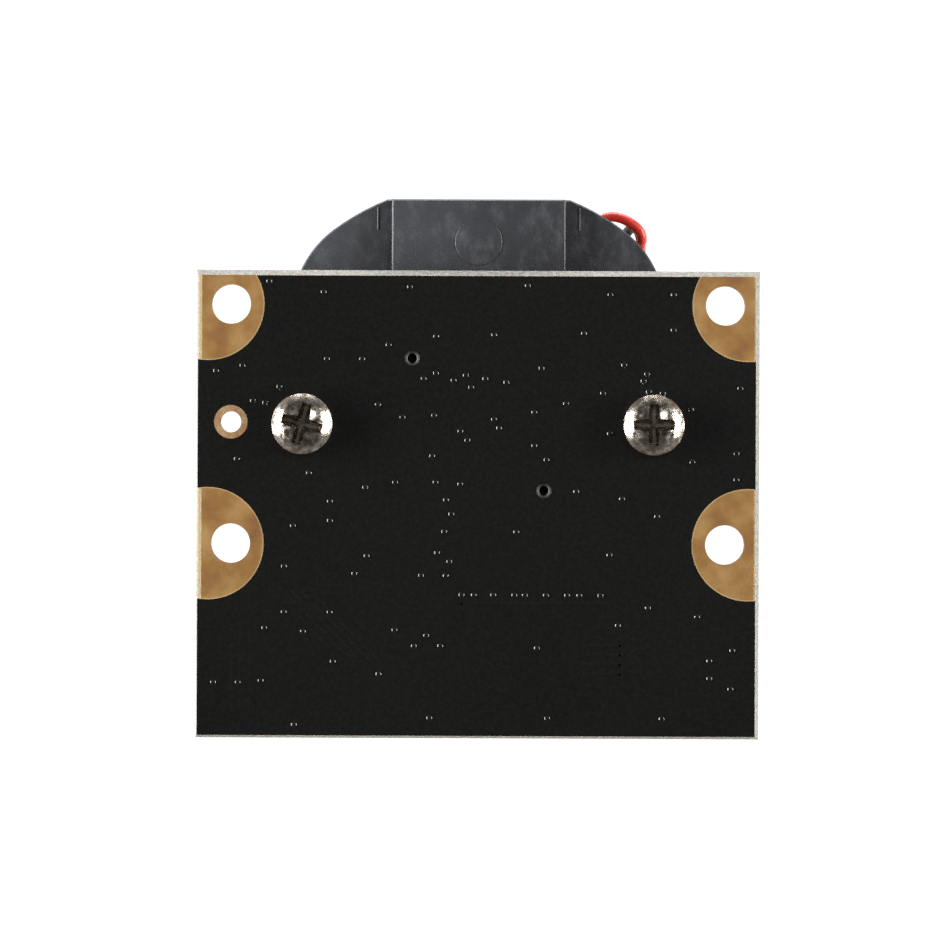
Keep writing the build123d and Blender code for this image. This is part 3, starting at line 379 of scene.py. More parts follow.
# Plated vias under the mask, where a track changes side; places in mm across and up from the lens axis
viaPlaces = {
    "upperLeft": [(-11.9, 8.1), (-8.8, 7.5), (-3.9, 7.8), (-2.4, 5.0), (-5.1, 4.5), (-8.6, 3.7), (-6.6, 3.7),
                  (-13.4, 3.3), (-14.9, 3.0)],
    "sensorLeft": [(-2.4, 2.9), (-3.1, 2.6), (-0.7, 2.8), (-1.4, 2.5), (-0.4, 2.1), (-5.7, 1.1), (-4.3, 0.4),
                   (-2.5, 0.5), (-1.0, -0.4), (-0.6, -0.9), (-2.6, -1.8), (-6.4, -3.6), (-4.7, -3.3),
                   (-2.4, -3.3), (-1.0, -3.4), (-1.8, -4.3)],
    "leftEdge": [(-11.3, 2.1), (-12.8, 1.3), (-12.1, 1.2), (-13.7, -2.0), (-9.6, -2.8), (-8.4, -4.4),
                 (-8.4, -5.5), (-10.5, -5.8)],
    "upperRight": [(2.8, 7.9), (7.5, 7.4), (11.1, 7.4), (0.9, 5.1), (6.0, 5.2), (11.1, 5.4), (3.6, 3.2),
                   (8.3, 3.4), (9.6, 2.9), (9.4, 2.5)],
    "sensorRight": [(0.4, 2.6), (1.6, 2.4), (7.1, 1.8), (9.7, 1.9), (10.5, 1.8), (5.0, 1.2), (3.2, 0.7),
                    (0.9, 0.3), (1.2, -0.2), (7.5, -0.5), (3.2, -1.2), (3.9, -2.0), (5.6, -3.8)],
    "rightEdge": [(14.9, 2.1), (12.1, 0.9), (12.2, -2.1), (14.7, -1.6), (14.7, -3.1), (8.2, -4.2),
                  (10.2, -5.2)],
    "middle": [(-1.5, -5.1), (-1.9, -6.1), (-1.6, -7.8), (-2.3, -7.3), (-6.3, -7.5), (-7.0, -8.5),
               (-3.2, -8.6), (-1.8, -8.6), (2.2, -6.1), (7.5, -7.4)],
    "connectorRow": [(x, -9.7) for x in (-0.9, -0.2, 0.9, 2.1, 2.7, 3.9, 5.1, 5.8, 7.0)],
    "lowerLeft": [(-11.0, -8.1), (-11.0, -10.7), (-8.4, -10.7), (-12.1, -11.6), (-9.9, -11.8), (-4.7, -11.7),
                  (-2.9, -12.0), (-3.6, -12.6), (-2.1, -12.6), (-8.2, -13.5), (-5.6, -14.2), (-15.0, -14.7),
                  (-13.6, -14.7), (-12.3, -14.6), (-2.7, -16.7), (-10.4, -17.1)],
    "lowerRight": [(9.7, -10.4), (12.5, -10.9), (8.0, -11.4), (3.4, -12.7), (14.5, -12.8), (13.2, -13.4),
                   (13.2, -14.4), (14.4, -15.0), (4.0, -16.7), (10.5, -16.7)],
}
viaShape = {
    "radii": [0.17, 0.15, 0.119, 0.095, 0.061, 0.02],
    "heights": [0.0, 0.017, 0.046, 0.055, 0.058, 0.058],
    "sides": 14,
}


def turnedRings(places, shape, level, capped=True):
    # rings of radius r at height h, towards the rear, round each place's own axis, and a cap on the last ring
    radii, heights, sides = np.array(shape["radii"]), np.array(shape["heights"]), shape["sides"]
    turn = np.arange(sides) * 2 * math.pi / sides
    ring = np.column_stack([np.cos(turn), np.sin(turn)])
    xz = np.array(places)[:, None, None, :] + radii[None, :, None, None] * ring[None, None, :, :]
    y = np.broadcast_to(level - heights[None, :, None], xz.shape[:3])
    points = np.stack([xz[..., 0], y, xz[..., 1]], axis=-1).reshape(-1, 3)
    faces = gridQuads(len(radii), sides, len(places), closed=True).reshape(-1, 4).tolist()
    if capped:
        starts = np.arange(len(places)) * len(radii) * sides
        faces += (starts[:, None] + (len(radii) - 1) * sides + np.arange(sides)).tolist()
    return points, faces


# The same ink where it has pooled over the vias: glossier, so each one glints
pooledInk = makeFinish("pooledSolderMask", {
    "dark": "#141413", "light": "#1a1918", "toneSize": 1.0, "grainSize": 0.1, "grainDepth": 0.0005,
    "rough": (0.14, 0.22), "shader": {"IOR": 1.5, "Specular IOR Level": 0.30}})
allVias = [place for group in viaPlaces.values() for place in group]
points, faces = turnedRings(allVias, viaShape, -board["maskThickness"])
addPiece("tentedVias", points, faces, pooledInk)
print("vias tented:", len(allVias))

# Ends of the housing's two pegs in their holes: a bevelled rim that catches light, helped by painted light,
# round a sunk middle darkened by painted shade
pegRim = {"radii": [0.415, 0.30, 0.265], "heights": [-0.03, -0.05, -0.09], "sides": 48}
pegHollow = {"radii": [0.265, 0.25, 0.24], "heights": [-0.09, -0.18, -0.24], "sides": 48}
# The housing's nylon, paler with painted light where the bevelled rim catches the light
paintedLightNylon = makeFinish("paintedLightNylon", {
    "dark": "#30322e", "light": "#40423d", "toneSize": 0.5, "grainSize": 0.09, "grainDepth": 0.004,
    "rough": (0.45, 0.60), "shader": {"IOR": 1.53}})
# The same nylon with painted shade: near black, for the shade in the sunk middle
paintedShadeNylon = makeFinish("paintedShadeBlackNylon", {
    "dark": "#070707", "light": "#0d0d0c", "toneSize": 0.5, "grainSize": 0.09, "grainDepth": 0.002,
    "rough": (0.60, 0.75), "shader": {"IOR": 1.4, "Specular IOR Level": 0.1}})
# the rims stay open, for the hollows
for name, shape, nylon, capped in (
        ("pegRims", pegRim, paintedLightNylon, False), ("pegHollows", pegHollow, paintedShadeNylon, True)):
    points, faces = turnedRings(board["locating"], shape, 0.0, capped)
    addPiece(name, points, faces, nylon)
print("pegs seated")

# Tracks that stand a little proud under the mask: each is a list of corners, in mm
trackShape = {"width": 0.22, "height": 0.006, "overrun": 0.05}
tracks = [[(-11.9 + 0.62 * i, -9.3 - 0.1 * i), (-8.1 + 0.62 * i, -13.1 - 0.1 * i)] for i in range(5)]
tracks += [[(-13.9 + 0.5 * i, -11.4), (-13.9 + 0.5 * i, -16.3)] for i in range(3)]
tracks += [[(6.0, -14.2 + 0.55 * i), (8.1, -14.2 + 0.55 * i), (9.8, -12.5 + 0.55 * i)] for i in range(4)]
tracks += [[(-0.9, -10.2), (7.6, -10.2)], [(-1.9, -10.5), (-0.9, -10.2)]]


def trackRidges(paths):
    # each straight run is a low ridge: a foot, two shoulders and a foot, carried a little past both its ends
    runs = np.array([run for path in paths for run in zip(path[:-1], path[1:])])
    along = runs[:, 1] - runs[:, 0]
    along /= np.linalg.norm(along, axis=1, keepdims=True)
    normal = np.column_stack([-along[:, 1], along[:, 0]])
    side = np.array([0.5, 0.32, -0.32, -0.5]) * trackShape["width"]
    rise = np.array([0.0, 1.0, 1.0, 0.0]) * trackShape["height"]
    ends = runs + np.array([[-1.0], [1.0]]) * trackShape["overrun"] * along[:, None, :]
    xz = ends[:, :, None, :] + side[:, None] * normal[:, None, None, :]
    y = np.broadcast_to(-board["maskThickness"] - rise, xz.shape[:3])
    points = np.stack([xz[..., 0], y, xz[..., 1]], axis=-1).reshape(-1, 3)
    return points, gridQuads(2, len(side), len(runs)).reshape(-1, 4).tolist()


points, faces = trackRidges(tracks)
addPiece("maskedTracks", points, faces, solderMask, smooth=False)
print("tracks laid")


laminateLook = {
    "opened": ("#c0b088", "#d6caa6"), "frayed": ("#625f57", "#84817a", "#a5a299"), "fray": 0.02,
    "fibreSize": 0.16, "grainDepth": 0.03, "rough": 0.7, "glow": 0.15, "glowDepth": 0.4,
}


def makeLaminate():
    # Glass-fibre and epoxy, snapped along its scores: cream in the openings, frayed and chalky at the edges
    material, tree = emptyMaterial("glassEpoxyLaminate")
    spot = addNode(tree, "TexCoord").outputs["Object"]
    axes = addNode(tree, "SeparateXYZ", links={0: spot})
    drawn = addNode(tree, "Mapping", {"Scale": (0.6, 1.0, 1.0)}, {"Vector": spot})
    fibre = addNode(tree, "TexNoise", {"Scale": perMm / laminateLook["fibreSize"], "Detail": 5.0,
                                       "Roughness": 0.7}, {"Vector": drawn})
    cream = addNode(tree, "ValToRGB", {"stops": list(zip((0.3, 0.7), laminateLook["opened"]))},
                    {"Fac": fibre})
    frayed = addNode(tree, "ValToRGB", {"stops": list(zip((0.3, 0.5, 0.75), laminateLook["frayed"]))},
                     {"Fac": fibre})
    # how far a point lies outside the flat face, across and up
    outside = []
    for axis, low, high in (("X", board["left"], board["right"]), ("Z", board["bottom"], board["top"])):
        centred = addNode(tree, "Math", {"operation": "SUBTRACT", 1: (low + high) / 2 * mm},
                          {0: axes.outputs[axis]})
        away = addNode(tree, "Math", {"operation": "ABSOLUTE"}, {0: centred})
        outside.append(addNode(tree, "Math", {"operation": "SUBTRACT", 1: (high - low) / 2 * mm}, {0: away}))
    furthest = addNode(tree, "Math", {"operation": "MAXIMUM"}, {0: outside[0], 1: outside[1]})
    share = addNode(tree, "MapRange", {"From Min": -laminateLook["fray"] * mm,
                                       "From Max": laminateLook["fray"] * mm}, {"Value": furthest})
    tone = addNode(tree, "Mix", {"data_type": "RGBA"}, {0: share, 6: cream, 7: frayed})
    relief = addNode(tree, "Bump", {"Strength": 1.0, "Distance": laminateLook["grainDepth"] * mm},
                     {"Height": fibre})
    skin = addNode(tree, "BsdfPrincipled", {
        "IOR": 1.55, "Roughness": laminateLook["rough"], "Subsurface Weight": laminateLook["glow"],
        "Subsurface Scale": laminateLook["glowDepth"] * mm},
        {"Base Color": tone.outputs[2], "Normal": relief})
    addNode(tree, "OutputMaterial", links={"Surface": skin})
    return material


goldLook = {
    "tones": ("#b0805a", "#b58a54", "#c4a06c"), "cloudSize": 1.9, "rim": "#e0c48e",
    "rimFrom": 3.11, "rimFull": 3.17, "landReach": 3.3,  # distances from a land's middle
    "grainSize": 0.12, "grainDepth": 0.006, "rough": (0.54, 0.66),
}


def makeLandGold():
    # Gold flash over etched copper: warm, satin and a little cloudy, with a painted highlight along its
    # rolled-off rim
    material, tree = emptyMaterial("goldOverNickel")
    spot = addNode(tree, "TexCoord").outputs["Object"]
    cloud = addNode(tree, "TexNoise", {"Scale": perMm / goldLook["cloudSize"], "Detail": 5.0,
                                       "Roughness": 0.55}, {"Vector": spot})
    grain = addNode(tree, "TexNoise", {"Scale": perMm / goldLook["grainSize"], "Detail": 3.0},
                    {"Vector": spot})
    tone = addNode(tree, "ValToRGB", {"stops": list(zip((0.32, 0.45, 0.68), goldLook["tones"]))},
                   {"Fac": cloud})
    # the distance from the nearest land's middle: all four lie at the same distances across and up
    mirrored = addNode(tree, "VectorMath", {"operation": "ABSOLUTE"}, {0: spot})
    axes = addNode(tree, "SeparateXYZ", links={0: mirrored})
    across = addNode(tree, "Math", {"operation": "SUBTRACT", 1: board["landX"] * mm}, {0: axes.outputs["X"]})
    up = addNode(tree, "Math", {"operation": "SUBTRACT", 1: board["landZ"] * mm}, {0: axes.outputs["Z"]})
    centred = addNode(tree, "CombineXYZ", links={0: across, 2: up})
    reach = addNode(tree, "VectorMath", {"operation": "LENGTH"}, {0: centred}).outputs["Value"]
    # painted highlight: a brighter gold in a thin ring at each land's rolled-off rim
    rolled = addNode(tree, "MapRange", {"From Min": goldLook["rimFrom"] * mm,
                                        "From Max": goldLook["rimFull"] * mm}, {"Value": reach})
    onLand = addNode(tree, "Math", {"operation": "LESS_THAN", 1: goldLook["landReach"] * mm}, {0: reach})
    rim = addNode(tree, "Math", {"operation": "MULTIPLY"}, {0: rolled, 1: onLand})
    withPaintedHighlight = addNode(tree, "Mix", {"data_type": "RGBA", 7: goldLook["rim"]}, {0: rim, 6: tone})
    gloss = addNode(tree, "MapRange", {"From Min": 0.3, "From Max": 0.7, "To Min": goldLook["rough"][0],
                                       "To Max": goldLook["rough"][1]}, {"Value": cloud})
    relief = addNode(tree, "Bump", {"Strength": 1.0, "Distance": goldLook["grainDepth"] * mm},
                     {"Height": grain})
    skin = addNode(tree, "BsdfPrincipled", {"Metallic": 1.0},
                   {"Base Color": withPaintedHighlight.outputs[2], "Roughness": gloss, "Normal": relief})
    addNode(tree, "OutputMaterial", links={"Surface": skin})
    return material


# broadTone is the pale colour of the painted light on the housing's rear, fading across the shoulder and
# across the block
housingLook = {
    "dark": "#26272a", "light": "#2e2f33", "cloudSize": 5.0, "broadTone": "#3f4246", "scuff": "#5c5d61",
    "blockLeft": -4.9, "paintedLightEnd": 3.0, "shoulderStep": -4.93, "shoulderLeft": -9.0, "paintedLightDepth": 2.5,
    "scuffSize": 1.2, "pebbleSize": 0.09, "grainDepth": 0.012, "rough": (0.42, 0.60),
}


def makeHousingNylon():
    # Black nylon from a spark-eroded tool: dark grey and finely pebbled, with pale scuffs, and painted light
    # that pales the rear towards the left
    material, tree = emptyMaterial("mouldedBlackNylon")
    spot = addNode(tree, "TexCoord").outputs["Object"]
    axes = addNode(tree, "SeparateXYZ", links={0: spot})
    cloud = addNode(tree, "TexNoise", {"Scale": perMm / housingLook["cloudSize"], "Detail": 3.0},
                    {"Vector": spot})
    pebble = addNode(tree, "TexNoise", {"Scale": perMm / housingLook["pebbleSize"], "Detail": 3.0,
                                        "Roughness": 0.6}, {"Vector": spot})
    slanted = addNode(tree, "Mapping", {"Scale": (1.3, 1.0, 0.8), "Rotation": (0.0, 0.35, 0.0)},
                      {"Vector": spot})
    scuff = addNode(tree, "TexNoise", {"Scale": perMm / housingLook["scuffSize"], "Detail": 5.0,
                                       "Roughness": 0.7}, {"Vector": slanted})
    tone = addNode(tree, "ValToRGB", {"stops": [(0.3, housingLook["dark"]), (0.7, housingLook["light"])]},
                   {"Fac": cloud})
    # painted light on the rear, palest at the left, the side the light falls from; the recessed shoulder
    # starts it afresh
    fromLeft = {"Value": axes.outputs["X"]}
    blockLeft = housingLook["blockLeft"] * mm
    onBlock = addNode(tree, "MapRange", {"From Min": blockLeft, "From Max": housingLook["paintedLightEnd"] * mm,
                                         "To Min": 0.85, "To Max": 0.0}, fromLeft)
    onShoulder = addNode(tree, "MapRange", {"From Min": housingLook["shoulderLeft"] * mm,
                                            "From Max": blockLeft, "To Min": 1.0, "To Max": 0.3}, fromLeft)
    shoulder = addNode(tree, "Math", {"operation": "LESS_THAN", 1: housingLook["shoulderStep"] * mm},
                       {0: axes.outputs["X"]})
    rear = addNode(tree, "Math", {"operation": "LESS_THAN", 1: housingLook["paintedLightDepth"] * mm},
                   {0: axes.outputs["Y"]})
    paintedLightShare = addNode(tree, "Mix", {"data_type": "FLOAT"}, {0: shoulder, 2: onBlock, 3: onShoulder})
    broadTone = addNode(tree, "Math", {"operation": "MULTIPLY"}, {0: paintedLightShare, 1: rear})
    # the painted light's pale tone mixed over the nylon's own
    withPaintedLight = addNode(tree, "Mix", {"data_type": "RGBA", 7: housingLook["broadTone"]}, {0: broadTone, 6: tone})
    worn = addNode(tree, "MapRange", {"From Min": 0.50, "From Max": 0.74, "To Max": 0.42}, {"Value": scuff})
    scuffed = addNode(tree, "Mix", {"data_type": "RGBA", 7: housingLook["scuff"]},
                      {0: worn, 6: withPaintedLight.outputs[2]})
    gloss = addNode(tree, "MapRange", {"From Min": 0.3, "From Max": 0.75, "To Min": housingLook["rough"][0],
                                       "To Max": housingLook["rough"][1]}, {"Value": scuff})
    relief = addNode(tree, "Bump", {"Strength": 1.0, "Distance": housingLook["grainDepth"] * mm},
                     {"Height": pebble})
    skin = addNode(tree, "BsdfPrincipled", {"IOR": 1.53},
                   {"Base Color": scuffed.outputs[2], "Roughness": gloss, "Normal": relief})
    addNode(tree, "OutputMaterial", links={"Surface": skin})
    return material


dress("circuit_board", makeLaminate())
dress("mounting_lands", makeLandGold())
# The same gold on the small ring, paler with painted light
dress("control_hole_plating", makeFinish("paintedLightGoldRing", {
    "dark": "#cb9c74", "light": "#dfc092", "toneSize": 0.7, "grainSize": 0.12, "grainDepth": 0.006,
    "rough": (0.50, 0.62), "shader": {"Metallic": 1.0}}))
housingNylon = makeHousingNylon()
dress("filter_housing", housingNylon)
dress("housing_cover", housingNylon)
print("board, lands and housing finished")

# Nickel-plated steel, cold headed: bright and slightly wavy, so the softboxes break up along its rim
dress("holder_screws", makeFinish("nickelPlatedSteel", {
    "dark": "#857466", "light": "#dad3c8", "toneSize": 0.40, "grainSize": 0.32, "grainDepth": 0.012,
    "rough": (0.08, 0.36), "shader": {"Metallic": 1.0}}))
# Polyester film, dull black on both faces so that no light strays
dress("filter_blade", makeFinish("mattBlackPolyester", {
    "dark": "#0d0d0d", "light": "#171716", "toneSize": 2.0, "grainSize": 0.08, "grainDepth": 0.004,
    "rough": (0.62, 0.75), "shader": {"IOR": 1.6}}))
# Filter glass with a multilayer mirror: pale cyan through, pink where it reflects
dress("infrared_filter", makeFinish("infraredBlockingGlass", {
    "dark": "#a9dbe0", "light": "#bfe6e6", "toneSize": 3.0, "grainSize": 0.6, "grainDepth": 0.0005,
    "rough": (0.01, 0.03), "shader": {"IOR": 1.52, "Transmission Weight": 0.85, "Coat Weight": 1.0,
                                      "Coat Roughness": 0.02, "Coat Tint": "#ff9fb4", "Coat IOR": 2.1}}))
# Polished window glass, nearly colourless
dress("clear_window", makeFinish("clearOpticalGlass", {
    "dark": "#f2f7f5", "light": "#ffffff", "toneSize": 3.0, "grainSize": 0.6, "grainDepth": 0.0004,
    "rough": (0.01, 0.03), "shader": {"IOR": 1.52, "Transmission Weight": 0.95}}))
# Ground steel pin: fine rings across its length and a clean highlight
dress("rotor_shaft", makeFinish("groundSteelPin", {
    "dark": "#a8a8a6", "light": "#cfcfcc", "toneSize": 0.4, "grainSize": 0.05, "grainDepth": 0.002,
    "stretch": (0.2, 3.0, 0.2), "rough": (0.18, 0.28), "shader": {"Metallic": 1.0}}))
# Sintered magnet under nickel: grey, with the pressed powder's grain showing through
dress("rotor_magnet", makeFinish("nickelledSinteredMagnet", {
    "dark": "#6b6a68", "light": "#8e8c88", "toneSize": 0.8, "grainSize": 0.07, "grainDepth": 0.006,
    "rough": (0.30, 0.45), "shader": {"Metallic": 1.0}}))
# Natural acetal, moulded: milky white, slippery, a soft glow at thin places
dress("drive_arm", makeFinish("naturalAcetal", {
    "dark": "#dcd8cb", "light": "#ebe8de", "toneSize": 1.5, "grainSize": 0.12, "grainDepth": 0.003,
    "rough": (0.32, 0.42), "shader": {"IOR": 1.48, "Subsurface Weight": 0.3, "Subsurface Scale": 0.0005}}))
# Soft iron sheet, stamped: grey, drawn one way by the press, duller at the cut edge
dress("stator_yoke", makeFinish("stampedSoftIron", {
    "dark": "#7c7d7e", "light": "#a5a6a6", "toneSize": 1.0, "grainSize": 0.09, "grainDepth": 0.004,
    "stretch": (0.15, 1.0, 1.5), "rough": (0.32, 0.48), "shader": {"Metallic": 1.0}}))
# Glass-filled nylon bobbin: dull dark brown-black, speckled by the fibres
dress("coil_bobbin", makeFinish("glassFilledNylon", {
    "dark": "#1c1a19", "light": "#2a2725", "toneSize": 0.6, "grainSize": 0.08, "grainDepth": 0.006,
    "rough": (0.45, 0.62), "shader": {"IOR": 1.53}}))
# Tin over brass: silver-white and soft-looking, slightly cloudy
tinPlate = makeFinish("tinnedBrass", {
    "dark": "#b5b5b2", "light": "#d9d9d6", "toneSize": 0.5, "grainSize": 0.08, "grainDepth": 0.003,
    "rough": (0.24, 0.40), "shader": {"Metallic": 1.0}})
for node in ("coil_terminals", "header_pins", "plug_contacts", "connector_contacts", "connector_anchors",
             "package_legs"):
    dress(node, tinPlate)
# Tin over silver on the chips' ends: matt white-grey caps
dress("chip_ends", makeFinish("matteTinCaps", {
    "dark": "#a9a8a4", "light": "#cbcac6", "toneSize": 0.3, "grainSize": 0.05, "grainDepth": 0.004,
    "rough": (0.38, 0.52), "shader": {"Metallic": 1.0}}))
# Moulded nylon housing of the plug and header: warm white, satin
ivoryNylon = makeFinish("ivoryNylon", {
    "dark": "#c4bca8", "light": "#d6cfbd", "toneSize": 2.0, "grainSize": 0.10, "grainDepth": 0.004,
    "rough": (0.42, 0.55), "shader": {"IOR": 1.53, "Subsurface Weight": 0.2, "Subsurface Scale": 0.0006}})
dress("lead_header", ivoryNylon)
dress("lead_plug", ivoryNylon)
# Heat-proof nylon of the ribbon connector: cream with a slight tan cast from the oven
dress("connector_body", makeFinish("heatProofNylon", {
    "dark": "#cfc4a8", "light": "#ded6c0", "toneSize": 3.0, "grainSize": 0.09, "grainDepth": 0.005,
    "rough": (0.48, 0.62), "shader": {"IOR": 1.55, "Subsurface Weight": 0.1, "Subsurface Scale": 0.0004}}))
# The same nylon dyed brown for the latch, so that it shows against the body
dress("connector_latch", makeFinish("brownLatchNylon", {
    "dark": "#2b1f19", "light": "#3a2b23", "toneSize": 2.0, "grainSize": 0.09, "grainDepth": 0.005,
    "rough": (0.42, 0.56), "shader": {"IOR": 1.55}}))
# Silicon under colour filters: dark violet-grey mirror
dress("sensor_die", makeFinish("filteredSilicon", {
    "dark": "#3a2f48", "light": "#4c4a3a", "toneSize": 1.8, "grainSize": 0.05, "grainDepth": 0.0004,
    "rough": (0.08, 0.14), "shader": {"Metallic": 0.6, "IOR": 1.8, "Coat Weight": 0.5,
                                      "Coat Tint": "#b6a0ff"}}))
# Black sensor package, ceramic-like and dull
dress("image_sensor", makeFinish("sensorPackage", {
    "dark": "#161617", "light": "#202021", "toneSize": 1.0, "grainSize": 0.07, "grainDepth": 0.003,
    "rough": (0.5, 0.65), "shader": {"IOR": 1.6}}))
# Thin flat glass sealed over the die: clear, with a faint cool tint
dress("sensor_glass", makeFinish("sensorCoverGlass", {
    "dark": "#f4f8f8", "light": "#ffffff", "toneSize": 3.0, "grainSize": 0.6, "grainDepth": 0.0003,
    "rough": (0.01, 0.02), "shader": {"IOR": 1.51, "Transmission Weight": 0.97}}))
# Barium titanate, fired: tan-brown, faintly speckled
dress("chip_capacitors", makeFinish("firedBariumCeramic", {
    "dark": "#8a6a4a", "light": "#a58762", "toneSize": 0.5, "grainSize": 0.05, "grainDepth": 0.003,
    "rough": (0.45, 0.60), "shader": {"IOR": 1.9}}))
# Resistor film under a black glass coat: glossy black
dress("chip_resistors", makeFinish("glassCoatedFilm", {
    "dark": "#0b0b0c", "light": "#16161a", "toneSize": 0.4, "grainSize": 0.08, "grainDepth": 0.002,
    "rough": (0.18, 0.30), "shader": {"IOR": 1.55}}))
# Moulded epoxy, matt from the mould's erosion: charcoal
mouldedEpoxy = makeFinish("mouldedEpoxy", {
    "dark": "#1b1b1c", "light": "#262627", "toneSize": 1.0, "grainSize": 0.06, "grainDepth": 0.005,
    "rough": (0.50, 0.68), "shader": {"IOR": 1.58}})
dress("voltage_regulator", mouldedEpoxy)
dress("filter_driver_chip", mouldedEpoxy)
# Alumina base and its seam-welded nickel lid
dress("clock_base", makeFinish("firedAlumina", {
    "dark": "#5a5751", "light": "#6d6961", "toneSize": 0.6, "grainSize": 0.06, "grainDepth": 0.003,
    "rough": (0.5, 0.62), "shader": {"IOR": 1.76}}))
dress("clock_lid", makeFinish("weldedNickelLid", {
    "dark": "#b9b7b0", "light": "#d6d4cd", "toneSize": 0.8, "grainSize": 0.12, "grainDepth": 0.002,
    "stretch": (0.3, 1.0, 1.0), "rough": (0.22, 0.34), "shader": {"Metallic": 1.0}}))
print("small parts finished")


def turnedFinish(name, look):
    # rings round the lens axis: depth plus radius goes through a sine, so both tubes and faces get them
    material, tree = emptyMaterial(name)
    spot = addNode(tree, "TexCoord").outputs["Object"]
    axes = addNode(tree, "SeparateXYZ", links={0: spot})
    cloud = addNode(tree, "TexNoise", {"Scale": perMm / 2.0, "Detail": 3.0}, {"Vector": spot})
    flat = addNode(tree, "CombineXYZ", links={0: axes.outputs["X"], 2: axes.outputs["Z"]})
    radius = addNode(tree, "VectorMath", {"operation": "LENGTH"}, {0: flat})
    reach = addNode(tree, "Math", {"operation": "ADD"}, {0: axes.outputs["Y"], 1: radius.outputs["Value"]})
    turn = addNode(tree, "Math", {"operation": "MULTIPLY", 1: 2 * math.pi / (look["pitch"] * mm)},
                   {0: reach})
    ring = addNode(tree, "Math", {"operation": "SINE"}, {0: turn})
    tone = addNode(tree, "ValToRGB", {"stops": [(0.3, look["dark"]), (0.7, look["light"])]}, {"Fac": cloud})
    gloss = addNode(tree, "MapRange", {"From Min": 0.3, "From Max": 0.7, "To Min": look["rough"][0],
                                       "To Max": look["rough"][1]}, {"Value": cloud})
    relief = addNode(tree, "Bump", {"Strength": 1.0, "Distance": look["depth"] * mm}, {"Height": ring})
    skin = addNode(tree, "BsdfPrincipled", look["shader"],
                   {"Base Color": tone, "Roughness": gloss, "Normal": relief})
    addNode(tree, "OutputMaterial", links={"Surface": skin})
    return material


# Aluminium, turned and black anodised: deep black with a metallic edge and fine tool rings
anodised = turnedFinish("blackAnodisedAluminium", {
    "dark": "#17181a", "light": "#222326", "pitch": 0.11, "depth": 0.0012, "rough": (0.30, 0.42),
    "shader": {"Metallic": 0.55, "Specular IOR Level": 0.5}})
dress("lens_barrel", anodised)
dress("retaining_ring", anodised)
# Blackened brass stop: velvety, so the glass shows no ghost of it
dress("lens_stop", turnedFinish("blackenedBrass", {
    "dark": "#0b0b0b", "light": "#141413", "pitch": 0.25, "depth": 0.004, "rough": (0.65, 0.8),
    "shader": {"Metallic": 0.0, "IOR": 1.5}}))
# Enamelled copper, wound: each turn a fine bright rib, red-brown
dress("coil_winding", turnedFinish("enamelledCopper", {
    "dark": "#8c3f1f", "light": "#b35a30", "pitch": 0.12, "depth": 0.02, "rough": (0.22, 0.34),
    "shader": {"Metallic": 0.85, "Coat Weight": 0.4, "Coat Roughness": 0.1}}))
# Lens glass, polished and coated: clear, with faint green, violet and blue reflections
for node, tint in (("front_element", "#cfeee0"), ("middle_element", "#dcc8f4"), ("rear_element", "#c4d8f4")):
    dress(node, makeFinish("coatedLensGlass" + node.split("_")[0].title(), {
        "dark": "#f0f4f2", "light": "#fbfdfc", "toneSize": 4.0, "grainSize": 1.5, "grainDepth": 0.0002,
        "rough": (0.005, 0.015), "shader": {"IOR": 1.62, "Transmission Weight": 0.97, "Coat Weight": 0.35,
                                            "Coat Roughness": 0.01, "Coat Tint": tint, "Coat IOR": 1.9}}))
print("lens finished")

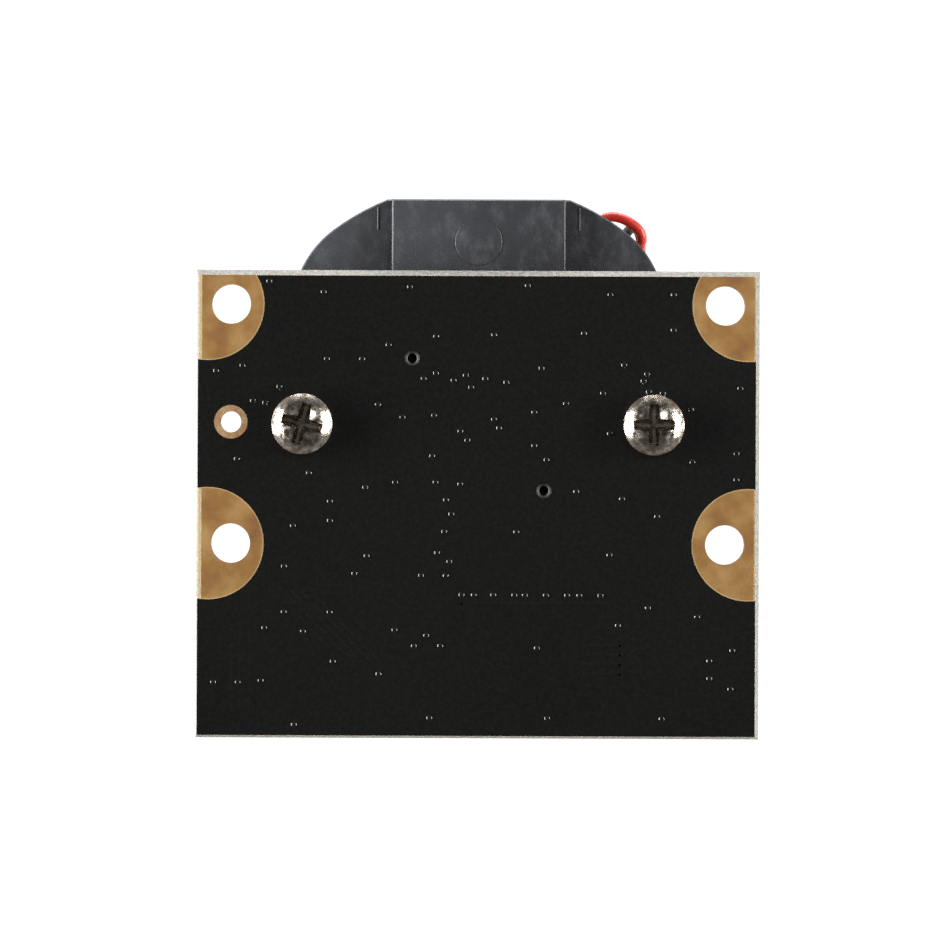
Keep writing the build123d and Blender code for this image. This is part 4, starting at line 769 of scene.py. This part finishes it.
# Reflowed solder at the chips' ends: concave bright fillets from pad to cap
chipSizes = {"capacitor": (1.6, 0.8, 0.75), "resistor": (1.0, 0.5, 0.35)}  # length, width, height
filletShape = {"steps": 5, "across": 4, "pad": 0.08, "spread": 0.3, "climb": 0.66, "sag": 2.2}
chipPlaces = {
    # across, up, turned
    "capacitor": [
        (-11.55, 3.1, 90), (-11.55, 5.3, 90), (-11.55, 7.4, 90), (-13.9, 2.6, 0), (-11.8, -3.1, 90),
        (-14.6, -11.15, 90), (-12.1, -11.15, 90), (-14.5, -16.35, 90), (11.55, 3.1, 90), (11.55, 5.3, 90),
        (11.55, -4.6, 90), (11.7, -10.95, 0), (15.05, -13.65, 90), (15.05, -16.25, 90)],
    "resistor": [
        (-14.1, 1.55, 0), (-14.1, -1.4, 0), (-12.7, -1.4, 0), (-11.5, -5.3, 90), (-11.5, -6.8, 90),
        (-12.1, -16.75, 0), (11.5, 7.1, 90), (11.55, -6.6, 90), (10.6, -9.95, 0), (13.3, -16.95, 0)],
}


def solderFillets(kind):
    # a grid at each end of each chip, t from the pad's outer edge to the cap and u across it: the rise is t
    # to the power of the sag, and the grid is then turned with its chip
    length, width, height = chipSizes[kind]
    steps, across = filletShape["steps"], filletShape["across"]
    t, u = np.meshgrid(np.linspace(0.0, 1.0, steps), np.linspace(-0.5, 0.5, across), indexing="ij")
    x, z, degrees = np.array(chipPlaces[kind])[:, :, None, None, None].transpose(1, 0, 2, 3, 4)
    angle = np.radians(degrees)
    end = np.array([1.0, -1.0])[:, None, None]
    out = end * (length / 2 + (filletShape["spread"] * height + filletShape["pad"]) * (1 - t))
    wide = u * width
    rise = board["front"] + board["maskThickness"] + filletShape["climb"] * height * t ** filletShape["sag"]
    px = x + out * np.cos(angle) - wide * np.sin(angle)
    pz = z + out * np.sin(angle) + wide * np.cos(angle)
    points = np.stack([px, np.broadcast_to(rise, px.shape), pz], axis=-1).reshape(-1, 3)
    quads = gridQuads(steps, across, 2 * len(chipPlaces[kind]))
    quads[1::2] = quads[1::2, :, ::-1]  # the far end is a mirror image
    return points, quads.reshape(-1, 4)


# Lead-free solder, reflowed: bright grey with a slightly frosted skin
reflowedSolder = makeFinish("reflowedSolder", {
    "dark": "#a5a6a6", "light": "#c9cac9", "toneSize": 0.3, "grainSize": 0.06, "grainDepth": 0.003,
    "rough": (0.22, 0.38), "shader": {"Metallic": 1.0}})
capPoints, capQuads = solderFillets("capacitor")
filmPoints, filmQuads = solderFillets("resistor")
points, quads = np.vstack([capPoints, filmPoints]), np.vstack([capQuads, filmQuads + len(capPoints)])
addPiece("solderFillets", points, quads.tolist(), reflowedSolder)
print("solder flowed")
